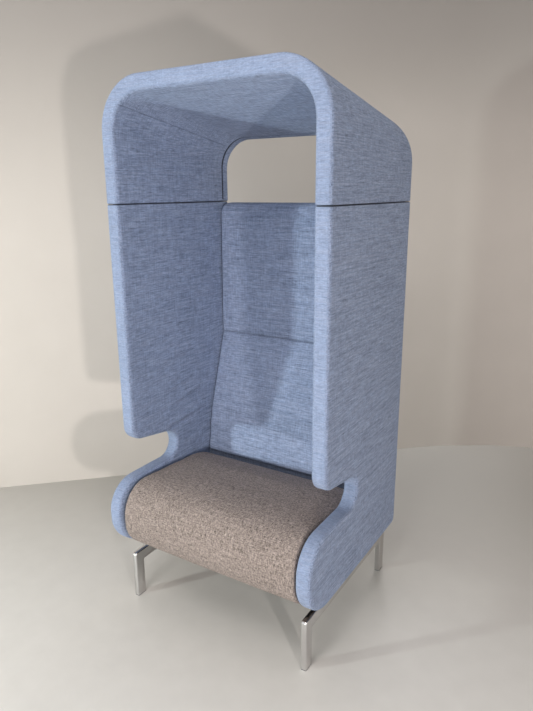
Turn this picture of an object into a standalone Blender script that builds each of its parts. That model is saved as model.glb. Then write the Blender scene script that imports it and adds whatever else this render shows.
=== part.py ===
"""A one-seat pod sofa: padded side panels, hood, back and seat on two chromed leg frames.

X runs across, Y from front to back and Z up from the floor. The origin is on the floor,
under the middle of the pod. Sizes are in metres.
"""

import math

import bmesh
import bpy
from mathutils import Matrix, Vector

# The whole pod
WIDTH = 0.800  # over both side panels
DEPTH = 0.700  # from the front of the arms to the rear
UNDERSIDE = 0.214  # height of the lower edge of the panels, seat and back
SPLIT = 1.413  # height at which the hood sits on the side panels
PANEL = 0.050  # thickness of a padded panel
PANEL_EDGE = 0.016  # rounding of its padded edges
FABRIC = 0.0025  # thickness of a cover
GAP = 0.0003  # between pieces that touch
SOFT_GAP = 0.0008  # between a crowned foam and its cover
SIDE_GAP = 0.0005  # from a side panel to the seat or back beside it

# Outline of a side panel, seen from the side
ARM_TOP = 0.467
ARM_NOSE_TOP = 0.108  # radii of the arm's round front
ARM_NOSE_LOW = 0.125
WING_SETBACK = 0.092  # from the front of the arm to the front of the wing
NOTCH_DEPTH = 0.231  # from the front of the wing to the back of the notch
NOTCH_HEIGHT = 0.102  # at the back of the notch
WING_RISE = math.radians(8.8)  # slope of the wing's lower edge
WING_CORNER = 0.052
HEEL_CORNER = 0.024  # lower rear corner
BOARD = 0.018  # plywood inside a side panel
BOARD_INSET = 0.016  # from the panel's outline to the plywood

# Hood
HOOD_RISE = 0.376  # from the split to the roof's front edge
HOOD_DROP = 0.097  # fall of the roof from front to rear
HOOD_CORNER = 0.160
HOOD_SHELL = 0.015  # bent plywood inside the hood
PIN_RADIUS = 0.004
PIN_LENGTH = 0.070
PIN_SETBACK = 0.090  # of a hood pin from the front or rear edge

# Back
BACK_TOP_DROP = 0.001  # from the split to the top of the back
BACK_TOP_DEPTH = 0.067
BACK_BREAK = 0.899  # height at which the front starts to slope forwards
BACK_BREAK_DEPTH = 0.070
BACK_SLOPE = math.radians(17.2)
LUMBAR = 0.576  # height under which the slope is less
LUMBAR_SLOPE = math.radians(7.2)
LUMBAR_FOLD = 0.300
BACK_EDGE = 0.010
BACK_CORNER = 0.040  # top corners, seen from the front
BACK_FOLD = 0.060  # radius of the soft fold at the break
BACK_CROWN = 0.006
BACK_BOARD = 0.018
BACK_PAD = 0.008  # foam behind the plywood
BACK_BOARD_INSET = 0.014
BACK_TO_SEAT = 0.002
ANGLE_LEG = 0.036
ANGLE_WALL = 0.003
ANGLE_LOW = 0.330  # heights of the angles' ends
ANGLE_HIGH = 0.680
ANGLE_SCREW_SETBACK = 0.040  # of the screws from an angle's ends
BACK_PIN_DROP = 0.109  # from the top of the back to its pins

# Seat
SEAT_SETBACK = 0.009  # of the nose's edge from the front of the arms
SEAT_TOP = 0.469  # where the top plane would meet the front plane
SEAT_SLOPE = math.radians(3.8)
SEAT_NOSE_TOP = 0.112  # radii of the seat's round front
SEAT_NOSE_LOW = 0.110
SEAT_REAR_CORNER = 0.025
SEAT_EDGE = 0.014
SEAT_CROWN = 0.012
SEAT_NOSE_CROWN = 0.008
SEAT_RAIL = 0.024  # thickness of the timber rails
SEAT_RAIL_HEIGHT = 0.090
SEAT_RAIL_GAP = 0.004  # from the rear rail to the cover
HEM = 0.025  # of the covers, turned in under the seat and back
LINING = 0.001
LINING_SETBACK = 0.0125  # of the lining from the rear
WEB_WIDTH = 0.060
WEB_THICKNESS = 0.0015
WEB_COUNT = 5  # straps from front to rear
WEB_CROSS_COUNT = 2  # straps from side to side

# Leg frames and what joins them to the seat
LEG_WIDTH = 0.020
LEG_DEPTH = 0.040
LEG_WALL = 0.002
LEG_ROUND = 0.005
LEG_TOP = 0.177
LEG_CORNER = 0.009  # outer corners of the bent tube, seen from the side
LEG_INNER_CORNER = 0.002
LEG_SIDE_INSET = 0.038  # from the pod's side to the tube
LEG_FRONT_INSET = 0.056  # from the front of the arms to the front leg
GLIDE_BASE = 0.002
GLIDE_PLUG = 0.015
GLIDE_FIT = 0.0004
BEARER_DEPTH = 0.030
BEARER_WALL = 0.002
BEARER_ROUND = 0.004
BEARER_SETBACK = 0.022  # from a front or rear seat rail to the middle of a bearer
BOLT_RADIUS = 0.004
BOLT_CLEARANCE = 0.0004
BOLT_BITE = 0.040  # of a bearer bolt into the seat rail
RAIL_BOLT_BITE = 0.012  # of a rail bolt into the bearer
BOARD_BITE = 0.013  # of a bolt or pin into plywood
HEAD_RADIUS = 0.0065
HEAD_HEIGHT = 0.004
PANEL_BOLT_SETBACK = 0.070  # of the panel bolts from the ends of the seat's side rails

# How finely round shapes are divided
ARC_STEP = math.radians(16.0)
SMALL_ARC = 0.020  # radius under which an arc has the coarser step
SMALL_ARC_STEP = math.radians(30.0)
EDGE_STEPS = 1
ROUND_SIDES = 8
CROWN_STATIONS = 6
REACH = 0.080  # how far a cutter runs past what it cuts
WELD = 1e-5  # points nearer than this are one point
ON_PLANE = 1e-6  # points nearer than this to a cutting plane are on it
SHARP_ANGLE = math.radians(35.0)  # edges with a larger turn are shaded sharp

# Values that follow from those above
FRONT = -DEPTH / 2
REAR = DEPTH / 2
HALF_WIDTH = WIDTH / 2
INNER = HALF_WIDTH - PANEL
SOFT_HALF = INNER - SIDE_GAP
PANEL_MIDDLE = HALF_WIDTH - PANEL / 2
BOARD_FACE = PANEL_MIDDLE - BOARD / 2
WING_FRONT = FRONT + WING_SETBACK
HOOD_TOP = SPLIT + HOOD_RISE
BACK_TOP = SPLIT - BACK_TOP_DROP
BACK_PIN_HEIGHT = BACK_TOP - BACK_PIN_DROP
BACK_BOARD_REAR = REAR - FABRIC - SOFT_GAP - BACK_PAD - GAP
BACK_BOARD_FRONT = BACK_BOARD_REAR - BACK_BOARD
BACK_BOARD_HALF = SOFT_HALF - BACK_BOARD_INSET
LUMBAR_FRONT = REAR - BACK_BREAK_DEPTH - (BACK_BREAK - LUMBAR) * math.tan(BACK_SLOPE)
BACK_LOW_FRONT = LUMBAR_FRONT - (LUMBAR - UNDERSIDE) * math.tan(LUMBAR_SLOPE)
SEAT_FRONT = FRONT + SEAT_SETBACK
SEAT_LOW_REAR = BACK_LOW_FRONT - BACK_TO_SEAT
RAIL_BOTTOM = UNDERSIDE + FABRIC + GAP
RAIL_TOP = RAIL_BOTTOM + SEAT_RAIL_HEIGHT
RAIL_FRONT = SEAT_FRONT + SEAT_NOSE_LOW
RAIL_REAR = SEAT_LOW_REAR - FABRIC - SEAT_RAIL_GAP
RAIL_OUTER = SOFT_HALF - SEAT_EDGE
RAIL_INNER = RAIL_OUTER - SEAT_RAIL
RAIL_MIDDLE = RAIL_OUTER - SEAT_RAIL / 2
SPAN_FRONT = RAIL_FRONT + SEAT_RAIL
SPAN_REAR = RAIL_REAR - SEAT_RAIL
WEB_TOP = RAIL_TOP + GAP + WEB_THICKNESS
LINING_BOTTOM = UNDERSIDE - GAP - LINING
BEARER_BOTTOM = LEG_TOP + GAP
BEARER_TOP = LINING_BOTTOM - GAP
BEARER_PLACES = (SPAN_FRONT + BEARER_SETBACK, SPAN_REAR - BEARER_SETBACK)
LEG_OUTER = HALF_WIDTH - LEG_SIDE_INSET
LEG_MIDDLE = LEG_OUTER - LEG_WIDTH / 2
LEG_FRONT = FRONT + LEG_FRONT_INSET
LEG_BOTTOM = GLIDE_BASE + GAP
BOLT_HOLE = BOLT_RADIUS + BOLT_CLEARANCE
PIN_HOLE = PIN_RADIUS + BOLT_CLEARANCE
PANEL_BOLT_PLACES = (SPAN_FRONT + PANEL_BOLT_SETBACK, SPAN_REAR - PANEL_BOLT_SETBACK)
ANGLE_OUTER = SOFT_HALF - FABRIC - SOFT_GAP
ANGLE_REAR = BACK_BOARD_FRONT - GAP
ANGLE_SCREW_REACH = (ANGLE_LEG + ANGLE_WALL) / 2
ANGLE_SCREW_HEIGHTS = (ANGLE_LOW + ANGLE_SCREW_SETBACK, ANGLE_HIGH - ANGLE_SCREW_SETBACK)
BACK_PIN_PLACE = (BACK_BOARD_FRONT + BACK_BOARD_REAR) / 2


# Collections and materials


def clear_scene():
    for obj in list(bpy.data.objects):
        bpy.data.objects.remove(obj, do_unlink=True)


def new_collection(name):
    collection = bpy.data.collections.new(name)
    bpy.context.scene.collection.children.link(collection)
    return collection


def linear(red, green, blue):
    """A screen colour of 0 to 255 a channel as the linear colour that a shader takes."""
    return tuple((channel / 255) ** 2.2 for channel in (red, green, blue)) + (1.0,)


def new_material(name, colour, roughness, metallic=0.0):
    material = bpy.data.materials.new(name)
    material.use_nodes = True
    shader = material.node_tree.nodes["Principled BSDF"]
    shader.inputs["Base Color"].default_value = colour
    shader.inputs["Roughness"].default_value = roughness
    shader.inputs["Metallic"].default_value = metallic
    material.diffuse_color = colour
    return material


clear_scene()
PARTS = new_collection("pod_sofa")
CUTTERS = new_collection("cutters")
POD = bpy.data.objects.new("pod_origin", None)
PARTS.objects.link(POD)

BLUE_FABRIC = new_material("blue_fabric", linear(122, 144, 188), 0.95)
BROWN_FABRIC = new_material("brown_fabric", linear(128, 115, 108), 0.95)
CHROME = new_material("chrome", linear(222, 222, 224), 0.08, 1.0)
BLACK_STEEL = new_material("black_steel", linear(38, 38, 40), 0.5, 0.3)
ZINC_STEEL = new_material("zinc_steel", linear(172, 174, 178), 0.35, 1.0)
PLYWOOD = new_material("plywood", linear(204, 170, 122), 0.7)
TIMBER = new_material("timber", linear(196, 156, 108), 0.7)
FOAM = new_material("foam", linear(232, 224, 200), 0.95)
GREY_PLASTIC = new_material("grey_plastic", linear(96, 97, 100), 0.55)
BLACK_CLOTH = new_material("black_cloth", linear(30, 30, 32), 0.9)
WEB_ELASTIC = new_material("web_elastic", linear(70, 66, 60), 0.9)


# Outlines: lists of (across, up, corner radius), counter-clockwise


def inset(corners, distance):
    """The outline moved inwards all round, with its corners kept concentric."""
    moved = []
    for index, (across, up, radius) in enumerate(corners):
        here = Vector((across, up))
        before = here - Vector(corners[index - 1][:2])
        after = Vector(corners[(index + 1) % len(corners)][:2]) - here
        inward_before = Vector((-before.y, before.x)).normalized()
        inward_after = Vector((-after.y, after.x)).normalized()
        mitre = (inward_before + inward_after) / (1 + inward_before.dot(inward_after))
        place = here + mitre * distance
        change = -distance if before.cross(after) > 0 else distance
        moved.append((place.x, place.y, max(radius + change, 0.0) if radius else 0.0))
    return moved


def corner_points(before, corner, after, radius):
    """The points of an arc that rounds one corner."""
    if radius == 0:
        return [corner]
    towards = (before - corner).normalized()
    away = (after - corner).normalized()
    turn = math.pi - towards.angle(away)
    middle = (towards + away).normalized()
    centre = corner + middle * radius / math.cos(turn / 2)
    start = corner + towards * radius * math.tan(turn / 2) - centre
    sense = 1 if away.cross(towards) > 0 else -1
    steps = max(2, math.ceil(turn / (SMALL_ARC_STEP if radius < SMALL_ARC else ARC_STEP)))
    first = math.atan2(start.y, start.x)
    points = []
    for step in range(steps + 1):
        angle = first + sense * turn * step / steps
        points.append(centre + radius * Vector((math.cos(angle), math.sin(angle))))
    return points


def rounded(corners):
    """The points of an outline, with its corners as arcs and no point twice."""
    points = []
    for index, (across, up, radius) in enumerate(corners):
        before = Vector(corners[index - 1][:2])
        after = Vector(corners[(index + 1) % len(corners)][:2])
        points += corner_points(before, Vector((across, up)), after, radius)
    return [point for index, point in enumerate(points) if (point - points[index - 1]).length > WELD]


def fitted(top, low, room, leaning=1.0):
    """Two corner radii, made smaller together where the edge between them is too short."""
    scale = min(1.0, room / (top * leaning + low))
    return top * scale, low * scale


def box_outline(low, high, radius=0.0):
    return [
        (high[0], low[1], radius),
        (high[0], high[1], radius),
        (low[0], high[1], radius),
        (low[0], low[1], radius),
    ]


# Solids

# How an outline's own axes lie in the room, for each direction it can be extruded in
TURNS = {
    "X": Matrix(((0, 0, 1, 0), (1, 0, 0, 0), (0, 1, 0, 0), (0, 0, 0, 1))),
    "Y": Matrix(((1, 0, 0, 0), (0, 0, -1, 0), (0, 1, 0, 0), (0, 0, 0, 1))),
    "Z": Matrix.Identity(4),
}


def extruded(corners, axis, low, high, edge=0.0):
    """A mesh of the outline, extruded along an axis, with its two rims rounded."""
    curve = bpy.data.curves.new("outline", "CURVE")
    curve.dimensions = "2D"
    curve.fill_mode = "BOTH"
    curve.extrude = (high - low) / 2 - edge
    curve.bevel_depth = edge
    curve.bevel_resolution = EDGE_STEPS
    curve.offset = -edge
    points = rounded(corners)
    spline = curve.splines.new("POLY")
    spline.points.add(len(points) - 1)
    for target, point in zip(spline.points, points):
        target.co = (point.x, point.y, 0.0, 1.0)
    spline.use_cyclic_u = True
    guide = bpy.data.objects.new("outline", curve)
    CUTTERS.objects.link(guide)
    bpy.context.view_layer.update()
    graph = bpy.context.evaluated_depsgraph_get()
    mesh = bpy.data.meshes.new_from_object(guide.evaluated_get(graph))
    bpy.data.objects.remove(guide, do_unlink=True)
    bpy.data.curves.remove(curve)
    middle = (low + high) / 2
    shift = {"X": (middle, 0, 0), "Y": (0, middle, 0), "Z": (0, 0, middle)}[axis]
    mesh.transform(Matrix.Translation(shift) @ TURNS[axis])
    return welded(mesh)


def welded(mesh):
    shape = bmesh.new()
    shape.from_mesh(mesh)
    bmesh.ops.remove_doubles(shape, verts=shape.verts, dist=WELD)
    bmesh.ops.recalc_face_normals(shape, faces=shape.faces)
    shape.to_mesh(mesh)
    shape.free()
    return mesh


def trimmed(mesh, point, outwards):
    """The mesh cut flat by a plane, without what lies beyond it."""
    shape = bmesh.new()
    shape.from_mesh(mesh)
    everything = shape.verts[:] + shape.edges[:] + shape.faces[:]
    cut_away = bmesh.ops.bisect_plane(
        shape, geom=everything, dist=ON_PLANE, plane_co=point, plane_no=outwards, clear_outer=True
    )
    rim = [item for item in cut_away["geom_cut"] if isinstance(item, bmesh.types.BMEdge)]
    bmesh.ops.edgeloop_fill(shape, edges=rim)
    bmesh.ops.recalc_face_normals(shape, faces=shape.faces)
    shape.to_mesh(mesh)
    shape.free()
    return mesh


def stationed(mesh, half):
    """The mesh divided across its width, so that it can take a crown."""
    shape = bmesh.new()
    shape.from_mesh(mesh)
    for station in range(1, CROWN_STATIONS):
        place = half * (2 * station / CROWN_STATIONS - 1)
        everything = shape.verts[:] + shape.edges[:] + shape.faces[:]
        bmesh.ops.bisect_plane(
            shape, geom=everything, dist=ON_PLANE, plane_co=(place, 0, 0), plane_no=(1, 0, 0)
        )
    shape.to_mesh(mesh)
    shape.free()
    return mesh


def moved_by(mesh, rule):
    for vertex in mesh.vertices:
        vertex.co = rule(vertex.co)
    return mesh


def boxes(spans):
    """A mesh of one or more separate boxes, each given by its low and high corners."""
    shape = bmesh.new()
    for low, high in spans:
        size = Vector(high) - Vector(low)
        centre = (Vector(high) + Vector(low)) / 2
        place = Matrix.Translation(centre) @ Matrix.Diagonal((*size, 1.0))
        bmesh.ops.create_cube(shape, size=1.0, matrix=place)
    mesh = bpy.data.meshes.new("boxes")
    shape.to_mesh(mesh)
    shape.free()
    return mesh


def rods(spans, sides=ROUND_SIDES):
    """A mesh of separate round bars, each given by its two ends and its radius."""
    shape = bmesh.new()
    for start, end, radius in spans:
        axis = Vector(end) - Vector(start)
        turn = axis.to_track_quat("Z", "Y").to_matrix().to_4x4()
        place = Matrix.Translation((Vector(start) + Vector(end)) / 2) @ turn
        bmesh.ops.create_cone(
            shape,
            cap_ends=True,
            segments=sides,
            radius1=radius,
            radius2=radius,
            depth=axis.length,
            matrix=place,
        )
    mesh = bpy.data.meshes.new("rods")
    shape.to_mesh(mesh)
    shape.free()
    return mesh


def bolt(span):
    """A bolt with its head behind the start of its shank."""
    start, end = (Vector(point) for point in span)
    axis = (end - start).normalized()
    side = axis.orthogonal().normalized()
    length = (end - start).length
    profile = (
        (0.0, -HEAD_HEIGHT),
        (HEAD_RADIUS, -HEAD_HEIGHT),
        (HEAD_RADIUS, 0.0),
        (BOLT_RADIUS, 0.0),
        (BOLT_RADIUS, length),
        (0.0, length),
    )
    shape = bmesh.new()
    line = [shape.verts.new(start + side * out + axis * along) for out, along in profile]
    edges = [shape.edges.new(pair) for pair in zip(line, line[1:])]
    bmesh.ops.spin(
        shape, geom=line + edges, cent=start, axis=axis, angle=math.tau, steps=ROUND_SIDES, use_merge=True
    )
    mesh = bpy.data.meshes.new("bolt")
    shape.to_mesh(mesh)
    shape.free()
    return welded(mesh)


def pin(span):
    return rods([(*span, PIN_RADIUS)])


def part(name, mesh, material):
    """One named piece of the pod."""
    mesh.name = name
    mesh.materials.clear()
    mesh.materials.append(material)
    mesh.shade_smooth()
    mesh.set_sharp_from_angle(angle=SHARP_ANGLE)
    obj = bpy.data.objects.new(name, mesh)
    PARTS.objects.link(obj)
    obj.parent = POD
    return obj


def tool(name, mesh):
    """A shape that cuts or joins, and isn't a piece itself."""
    obj = bpy.data.objects.new(name, mesh)
    CUTTERS.objects.link(obj)
    obj.hide_render = True
    obj.display_type = "WIRE"
    return obj


def combine(obj, shape, operation="DIFFERENCE"):
    modifier = obj.modifiers.new(shape.name, "BOOLEAN")
    modifier.operation = operation
    modifier.solver = "EXACT"
    modifier.object = shape


def mirrored(span):
    """The same span on the left side."""
    return tuple((-item[0], *item[1:]) if isinstance(item, tuple) else item for item in span)


def both_sides(spans):
    return spans + [mirrored(span) for span in spans]


def make_fasteners(kind, places, spans, shape):
    """One piece on each side for each of the places."""
    for place, span in zip(places, spans):
        part(place + "_left_" + kind, shape(mirrored(span)), ZINC_STEEL)
        part(place + "_right_" + kind, shape(span), ZINC_STEEL)


# Fasteners: where each runs, on the right side


def panel_bolt_spans():
    height = (RAIL_BOTTOM + RAIL_TOP) / 2
    return [
        ((RAIL_INNER - GAP, place, height), (BOARD_FACE + BOARD_BITE, place, height))
        for place in PANEL_BOLT_PLACES
    ]


def side_screw_spans():
    start = ANGLE_OUTER - ANGLE_WALL - GAP
    place = ANGLE_REAR - ANGLE_SCREW_REACH
    end = BOARD_FACE + BOARD_BITE
    return [((start, place, height), (end, place, height)) for height in ANGLE_SCREW_HEIGHTS]


def back_screw_spans():
    start = ANGLE_REAR - ANGLE_WALL - GAP
    place = ANGLE_OUTER - ANGLE_SCREW_REACH
    end = BACK_BOARD_FRONT + BOARD_BITE
    return [((place, start, height), (place, end, height)) for height in ANGLE_SCREW_HEIGHTS]


def back_pin_spans():
    inner_end = (BACK_BOARD_HALF - PIN_LENGTH / 2, BACK_PIN_PLACE, BACK_PIN_HEIGHT)
    return [(inner_end, (BOARD_FACE + BOARD_BITE, BACK_PIN_PLACE, BACK_PIN_HEIGHT))]


def hood_pin_spans():
    return [
        ((PANEL_MIDDLE, place, SPLIT - PIN_LENGTH / 2), (PANEL_MIDDLE, place, SPLIT + PIN_LENGTH / 2))
        for place in (WING_FRONT + PIN_SETBACK, REAR - PIN_SETBACK)
    ]


def rail_bolt_spans():
    low = LEG_TOP - LEG_DEPTH - GAP
    high = BEARER_BOTTOM + RAIL_BOLT_BITE
    return [((LEG_MIDDLE, place, low), (LEG_MIDDLE, place, high)) for place in BEARER_PLACES]


def bearer_bolt_spans():
    low = BEARER_BOTTOM - GAP
    high = RAIL_BOTTOM + BOLT_BITE
    return [((RAIL_MIDDLE, place, low), (RAIL_MIDDLE, place, high)) for place in BEARER_PLACES]


def holes(spans, radius):
    """Bars to cut holes for fasteners, a little longer than the fasteners."""
    bars = []
    for start, end in spans:
        along = (Vector(end) - Vector(start)).normalized() * BOLT_CLEARANCE
        bars.append((tuple(Vector(start) - along), tuple(Vector(end) + along), radius))
    return bars


def side_holes():
    """The holes that run from the seat and back into both side panels."""
    bolt_bars = holes(both_sides(panel_bolt_spans() + side_screw_spans()), BOLT_HOLE)
    return rods(bolt_bars + holes(both_sides(back_pin_spans()), PIN_HOLE))


# Side panels


def panel_outline(top):
    notch = NOTCH_HEIGHT / (1 + math.tan(math.radians(45) - WING_RISE / 2))
    nose_top, nose_low = fitted(ARM_NOSE_TOP, ARM_NOSE_LOW, ARM_TOP - UNDERSIDE)
    notch_back = WING_FRONT + NOTCH_DEPTH
    wing_low = ARM_TOP + NOTCH_HEIGHT + NOTCH_DEPTH * math.tan(WING_RISE)
    return [
        (REAR, UNDERSIDE, HEEL_CORNER),
        (REAR, top, 0.0),
        (WING_FRONT, top, 0.0),
        (WING_FRONT, wing_low, WING_CORNER),
        (notch_back, ARM_TOP + NOTCH_HEIGHT, notch),
        (notch_back, ARM_TOP, notch),
        (FRONT, ARM_TOP, nose_top),
        (FRONT, UNDERSIDE, nose_low),
    ]


def panel_solid(side, depth, height=SPLIT):
    """A side panel's padded shape, set in by a depth all round and cut off at a height."""
    ends = sorted((side * (INNER + depth), side * (HALF_WIDTH - depth)))
    mesh = extruded(inset(panel_outline(SPLIT + REACH), depth), "X", *ends, PANEL_EDGE - depth)
    return trimmed(mesh, (0, 0, height), (0, 0, 1))


def board_solid(side, spare, height):
    half = BOARD / 2 + spare
    ends = sorted((side * (PANEL_MIDDLE - half), side * (PANEL_MIDDLE + half)))
    mesh = extruded(inset(panel_outline(SPLIT + REACH), BOARD_INSET - spare), "X", *ends)
    return trimmed(mesh, (0, 0, height), (0, 0, 1))


def make_side_panel(name, side):
    drills = tool(name + "_holes", side_holes())
    pin_holes = tool(name + "_pin_holes", rods(holes(both_sides(hood_pin_spans()), PIN_HOLE)))

    board = part(name + "_board", board_solid(side, 0.0, SPLIT), PLYWOOD)
    combine(board, drills)
    combine(board, pin_holes)

    foam = part(name + "_foam", panel_solid(side, FABRIC + GAP), FOAM)
    combine(foam, tool(name + "_board_space", board_solid(side, GAP, SPLIT + REACH / 2)))
    combine(foam, drills)

    cover = part(name + "_cover", panel_solid(side, 0.0), BLUE_FABRIC)
    combine(cover, tool(name + "_foam_space", panel_solid(side, FABRIC, SPLIT + REACH / 2)))
    combine(cover, drills)


# Hood


def hood_outline(low):
    return [
        (HALF_WIDTH, low, 0.0),
        (HALF_WIDTH, HOOD_TOP, HOOD_CORNER),
        (-HALF_WIDTH, HOOD_TOP, HOOD_CORNER),
        (-HALF_WIDTH, low, 0.0),
        (-INNER, low, 0.0),
        (-INNER, HOOD_TOP - PANEL, HOOD_CORNER - PANEL),
        (INNER, HOOD_TOP - PANEL, HOOD_CORNER - PANEL),
        (INNER, low, 0.0),
    ]


def roof_fall(point):
    """Lowers the roof towards the rear, and leaves the foot of the hood level."""
    fall = HOOD_DROP * (point.y - WING_FRONT) / (REAR - WING_FRONT)
    return Vector((point.x, point.y, point.z - fall)) if point.z > SPLIT else point


def hood_solid(depth, low, edge):
    """The hood's shape, set in by a depth all round and cut off at a height."""
    corners = inset(hood_outline(SPLIT - REACH), depth)
    mesh = extruded(corners, "Y", WING_FRONT + depth, REAR - depth, edge)
    return trimmed(moved_by(mesh, roof_fall), (0, 0, low), (0, 0, -1))


def make_hood():
    foot = SPLIT + GAP
    shell_depth = (PANEL - HOOD_SHELL) / 2
    past_foot = SPLIT - REACH / 2

    shell = part("hood_shell", hood_solid(shell_depth, foot, 0.0), PLYWOOD)
    combine(shell, tool("hood_pin_holes", rods(holes(both_sides(hood_pin_spans()), PIN_HOLE))))

    foam = part("hood_foam", hood_solid(FABRIC + GAP, foot, PANEL_EDGE - FABRIC - GAP), FOAM)
    combine(foam, tool("hood_shell_space", hood_solid(shell_depth - GAP, past_foot, 0.0)))

    cover = part("hood_cover", hood_solid(0.0, foot, PANEL_EDGE), BLUE_FABRIC)
    combine(cover, tool("hood_foam_space", hood_solid(FABRIC, past_foot, PANEL_EDGE - FABRIC)))

    make_fasteners("hood_pin", ("front", "rear"), hood_pin_spans(), pin)


# Back


def back_outline():
    return [
        (REAR, UNDERSIDE, BACK_EDGE),
        (REAR, BACK_TOP, BACK_EDGE),
        (REAR - BACK_TOP_DEPTH, BACK_TOP, BACK_EDGE),
        (REAR - BACK_BREAK_DEPTH, BACK_BREAK, BACK_FOLD),
        (LUMBAR_FRONT, LUMBAR, LUMBAR_FOLD),
        (BACK_LOW_FRONT, UNDERSIDE, BACK_EDGE),
    ]


def share(value, start, end):
    """How far a value has come from start to end, from 0 to 1."""
    return min(max((value - start) / (end - start), 0.0), 1.0)


def back_crown(point):
    """Swells the front of the back forwards above the seat."""
    across = 1 - (point.x / SOFT_HALF) ** 2
    forwards = share(point.y, BACK_BOARD_FRONT, REAR - BACK_BREAK_DEPTH)
    above = share(point.z, SEAT_TOP, BACK_BREAK)
    return point - Vector((0, BACK_CROWN * across * forwards * above, 0))


def back_solid(depth):
    """The back's shape, set in by a depth all round."""
    half = SOFT_HALF - depth
    mesh = extruded(inset(back_outline(), depth), "X", -half, half, BACK_EDGE - depth)
    return moved_by(stationed(mesh, half), back_crown)


def back_corner_cut(depth):
    """What lies outside the back's rounded top corners, seen from the front."""
    half = SOFT_HALF - depth
    top = BACK_TOP - depth
    radius = BACK_CORNER - depth
    plate = [
        (half + REACH, top - radius, 0.0),
        (half + REACH, top + REACH, 0.0),
        (-half - REACH, top + REACH, 0.0),
        (-half - REACH, top - radius, 0.0),
        (-half, top - radius, 0.0),
        (-half, top, radius),
        (half, top, radius),
        (half, top - radius, 0.0),
    ]
    return extruded(plate, "Y", REAR - DEPTH / 2, REAR + REACH)


def bottom_opening(front, rear, half):
    return boxes([((-half, front, UNDERSIDE - REACH), (half, rear, UNDERSIDE + HEM))])


def angle_outline(spare):
    """An angle, seen from above, for the right side."""
    outer = ANGLE_OUTER + spare
    rear = ANGLE_REAR + spare
    wall = ANGLE_WALL + 2 * spare
    leg = ANGLE_LEG + 2 * spare
    return [
        (outer, rear - leg, 0.0),
        (outer, rear, 0.0),
        (outer - leg, rear, 0.0),
        (outer - leg, rear - wall, 0.0),
        (outer - wall, rear - wall, 0.0),
        (outer - wall, rear - leg, 0.0),
    ]


def angle(side, spare):
    mesh = extruded(angle_outline(spare), "Z", ANGLE_LOW - spare, ANGLE_HIGH + spare)
    mesh.transform(Matrix.Diagonal((side, 1, 1, 1)))
    return welded(mesh)


def make_back():
    board_low = UNDERSIDE + FABRIC + SOFT_GAP
    board_high = BACK_TOP - FABRIC - SOFT_GAP - BACK_BOARD_INSET
    low = Vector((-BACK_BOARD_HALF, BACK_BOARD_FRONT, board_low))
    high = Vector((BACK_BOARD_HALF, BACK_BOARD_REAR, board_high))
    spare = Vector((GAP, GAP, GAP))
    below = Vector((0, 0, REACH))
    screws = both_sides(side_screw_spans() + back_screw_spans())
    screw_bars = holes(screws, BOLT_HOLE)
    drills = tool("back_holes", rods(screw_bars + holes(both_sides(back_pin_spans()), PIN_HOLE)))

    board = part("back_board", boxes([(low, high)]), PLYWOOD)
    combine(board, drills)

    heads = []
    for start, end in screws:
        along = (Vector(end) - Vector(start)).normalized()
        heads.append((Vector(start) - along * (HEAD_HEIGHT + GAP), start, HEAD_RADIUS + BOLT_CLEARANCE))
    foam = part("back_foam", back_solid(FABRIC + SOFT_GAP), FOAM)
    combine(foam, tool("back_foam_corners", back_corner_cut(FABRIC + SOFT_GAP)))
    combine(foam, tool("back_board_space", boxes([(low - spare - below, high + spare)])))
    for name, side in (("left", -1), ("right", 1)):
        combine(foam, tool(name + "_angle_space", angle(side, GAP)))
    combine(foam, tool("back_head_space", rods(heads)))
    combine(foam, drills)

    cover = part("back_cover", back_solid(0.0), BLUE_FABRIC)
    inside = tool("back_foam_space", back_solid(FABRIC))
    combine(inside, tool("back_inside_corners", back_corner_cut(FABRIC)))
    combine(cover, tool("back_cover_corners", back_corner_cut(0.0)))
    combine(cover, inside)
    opening = bottom_opening(BACK_LOW_FRONT + HEM, REAR - HEM, SOFT_HALF - HEM)
    combine(cover, tool("back_opening", opening))
    combine(cover, drills)

    for name, side in (("left", -1), ("right", 1)):
        bracket = part(name + "_back_bracket", angle(side, 0.0), ZINC_STEEL)
        combine(bracket, drills)
    make_fasteners("side_screw", ("lower", "upper"), side_screw_spans(), bolt)
    make_fasteners("back_screw", ("lower", "upper"), back_screw_spans(), bolt)
    make_fasteners("back_pin", ("upper",), back_pin_spans(), pin)


# Seat


def seat_outline():
    leaning = math.tan(math.radians(45) + SEAT_SLOPE / 2)
    nose_top, nose_low = fitted(SEAT_NOSE_TOP, SEAT_NOSE_LOW, SEAT_TOP - UNDERSIDE, leaning)
    depth = SEAT_LOW_REAR - SEAT_FRONT
    rear_top = (SEAT_TOP - depth * math.tan(SEAT_SLOPE) - UNDERSIDE) / (
        1 + math.tan(SEAT_SLOPE) * math.tan(LUMBAR_SLOPE)
    )
    return [
        (SEAT_LOW_REAR, UNDERSIDE, 0.0),
        (SEAT_LOW_REAR + rear_top * math.tan(LUMBAR_SLOPE), UNDERSIDE + rear_top, SEAT_REAR_CORNER),
        (SEAT_FRONT, SEAT_TOP, nose_top),
        (SEAT_FRONT, UNDERSIDE, nose_low),
    ]


def seat_crown(point):
    """Swells the top of the seat upwards and its nose forwards."""
    across = 1 - (point.x / SOFT_HALF) ** 2
    up = share(point.z, UNDERSIDE, SEAT_TOP)
    forwards = share(point.y, RAIL_FRONT, SEAT_FRONT)
    return point + Vector((0, -SEAT_NOSE_CROWN * forwards, SEAT_CROWN * up)) * across


def seat_solid(depth):
    """The seat's shape, set in by a depth all round."""
    half = SOFT_HALF - depth
    mesh = extruded(inset(seat_outline(), depth), "X", -half, half, SEAT_EDGE - depth)
    return moved_by(stationed(mesh, half), seat_crown)


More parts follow.
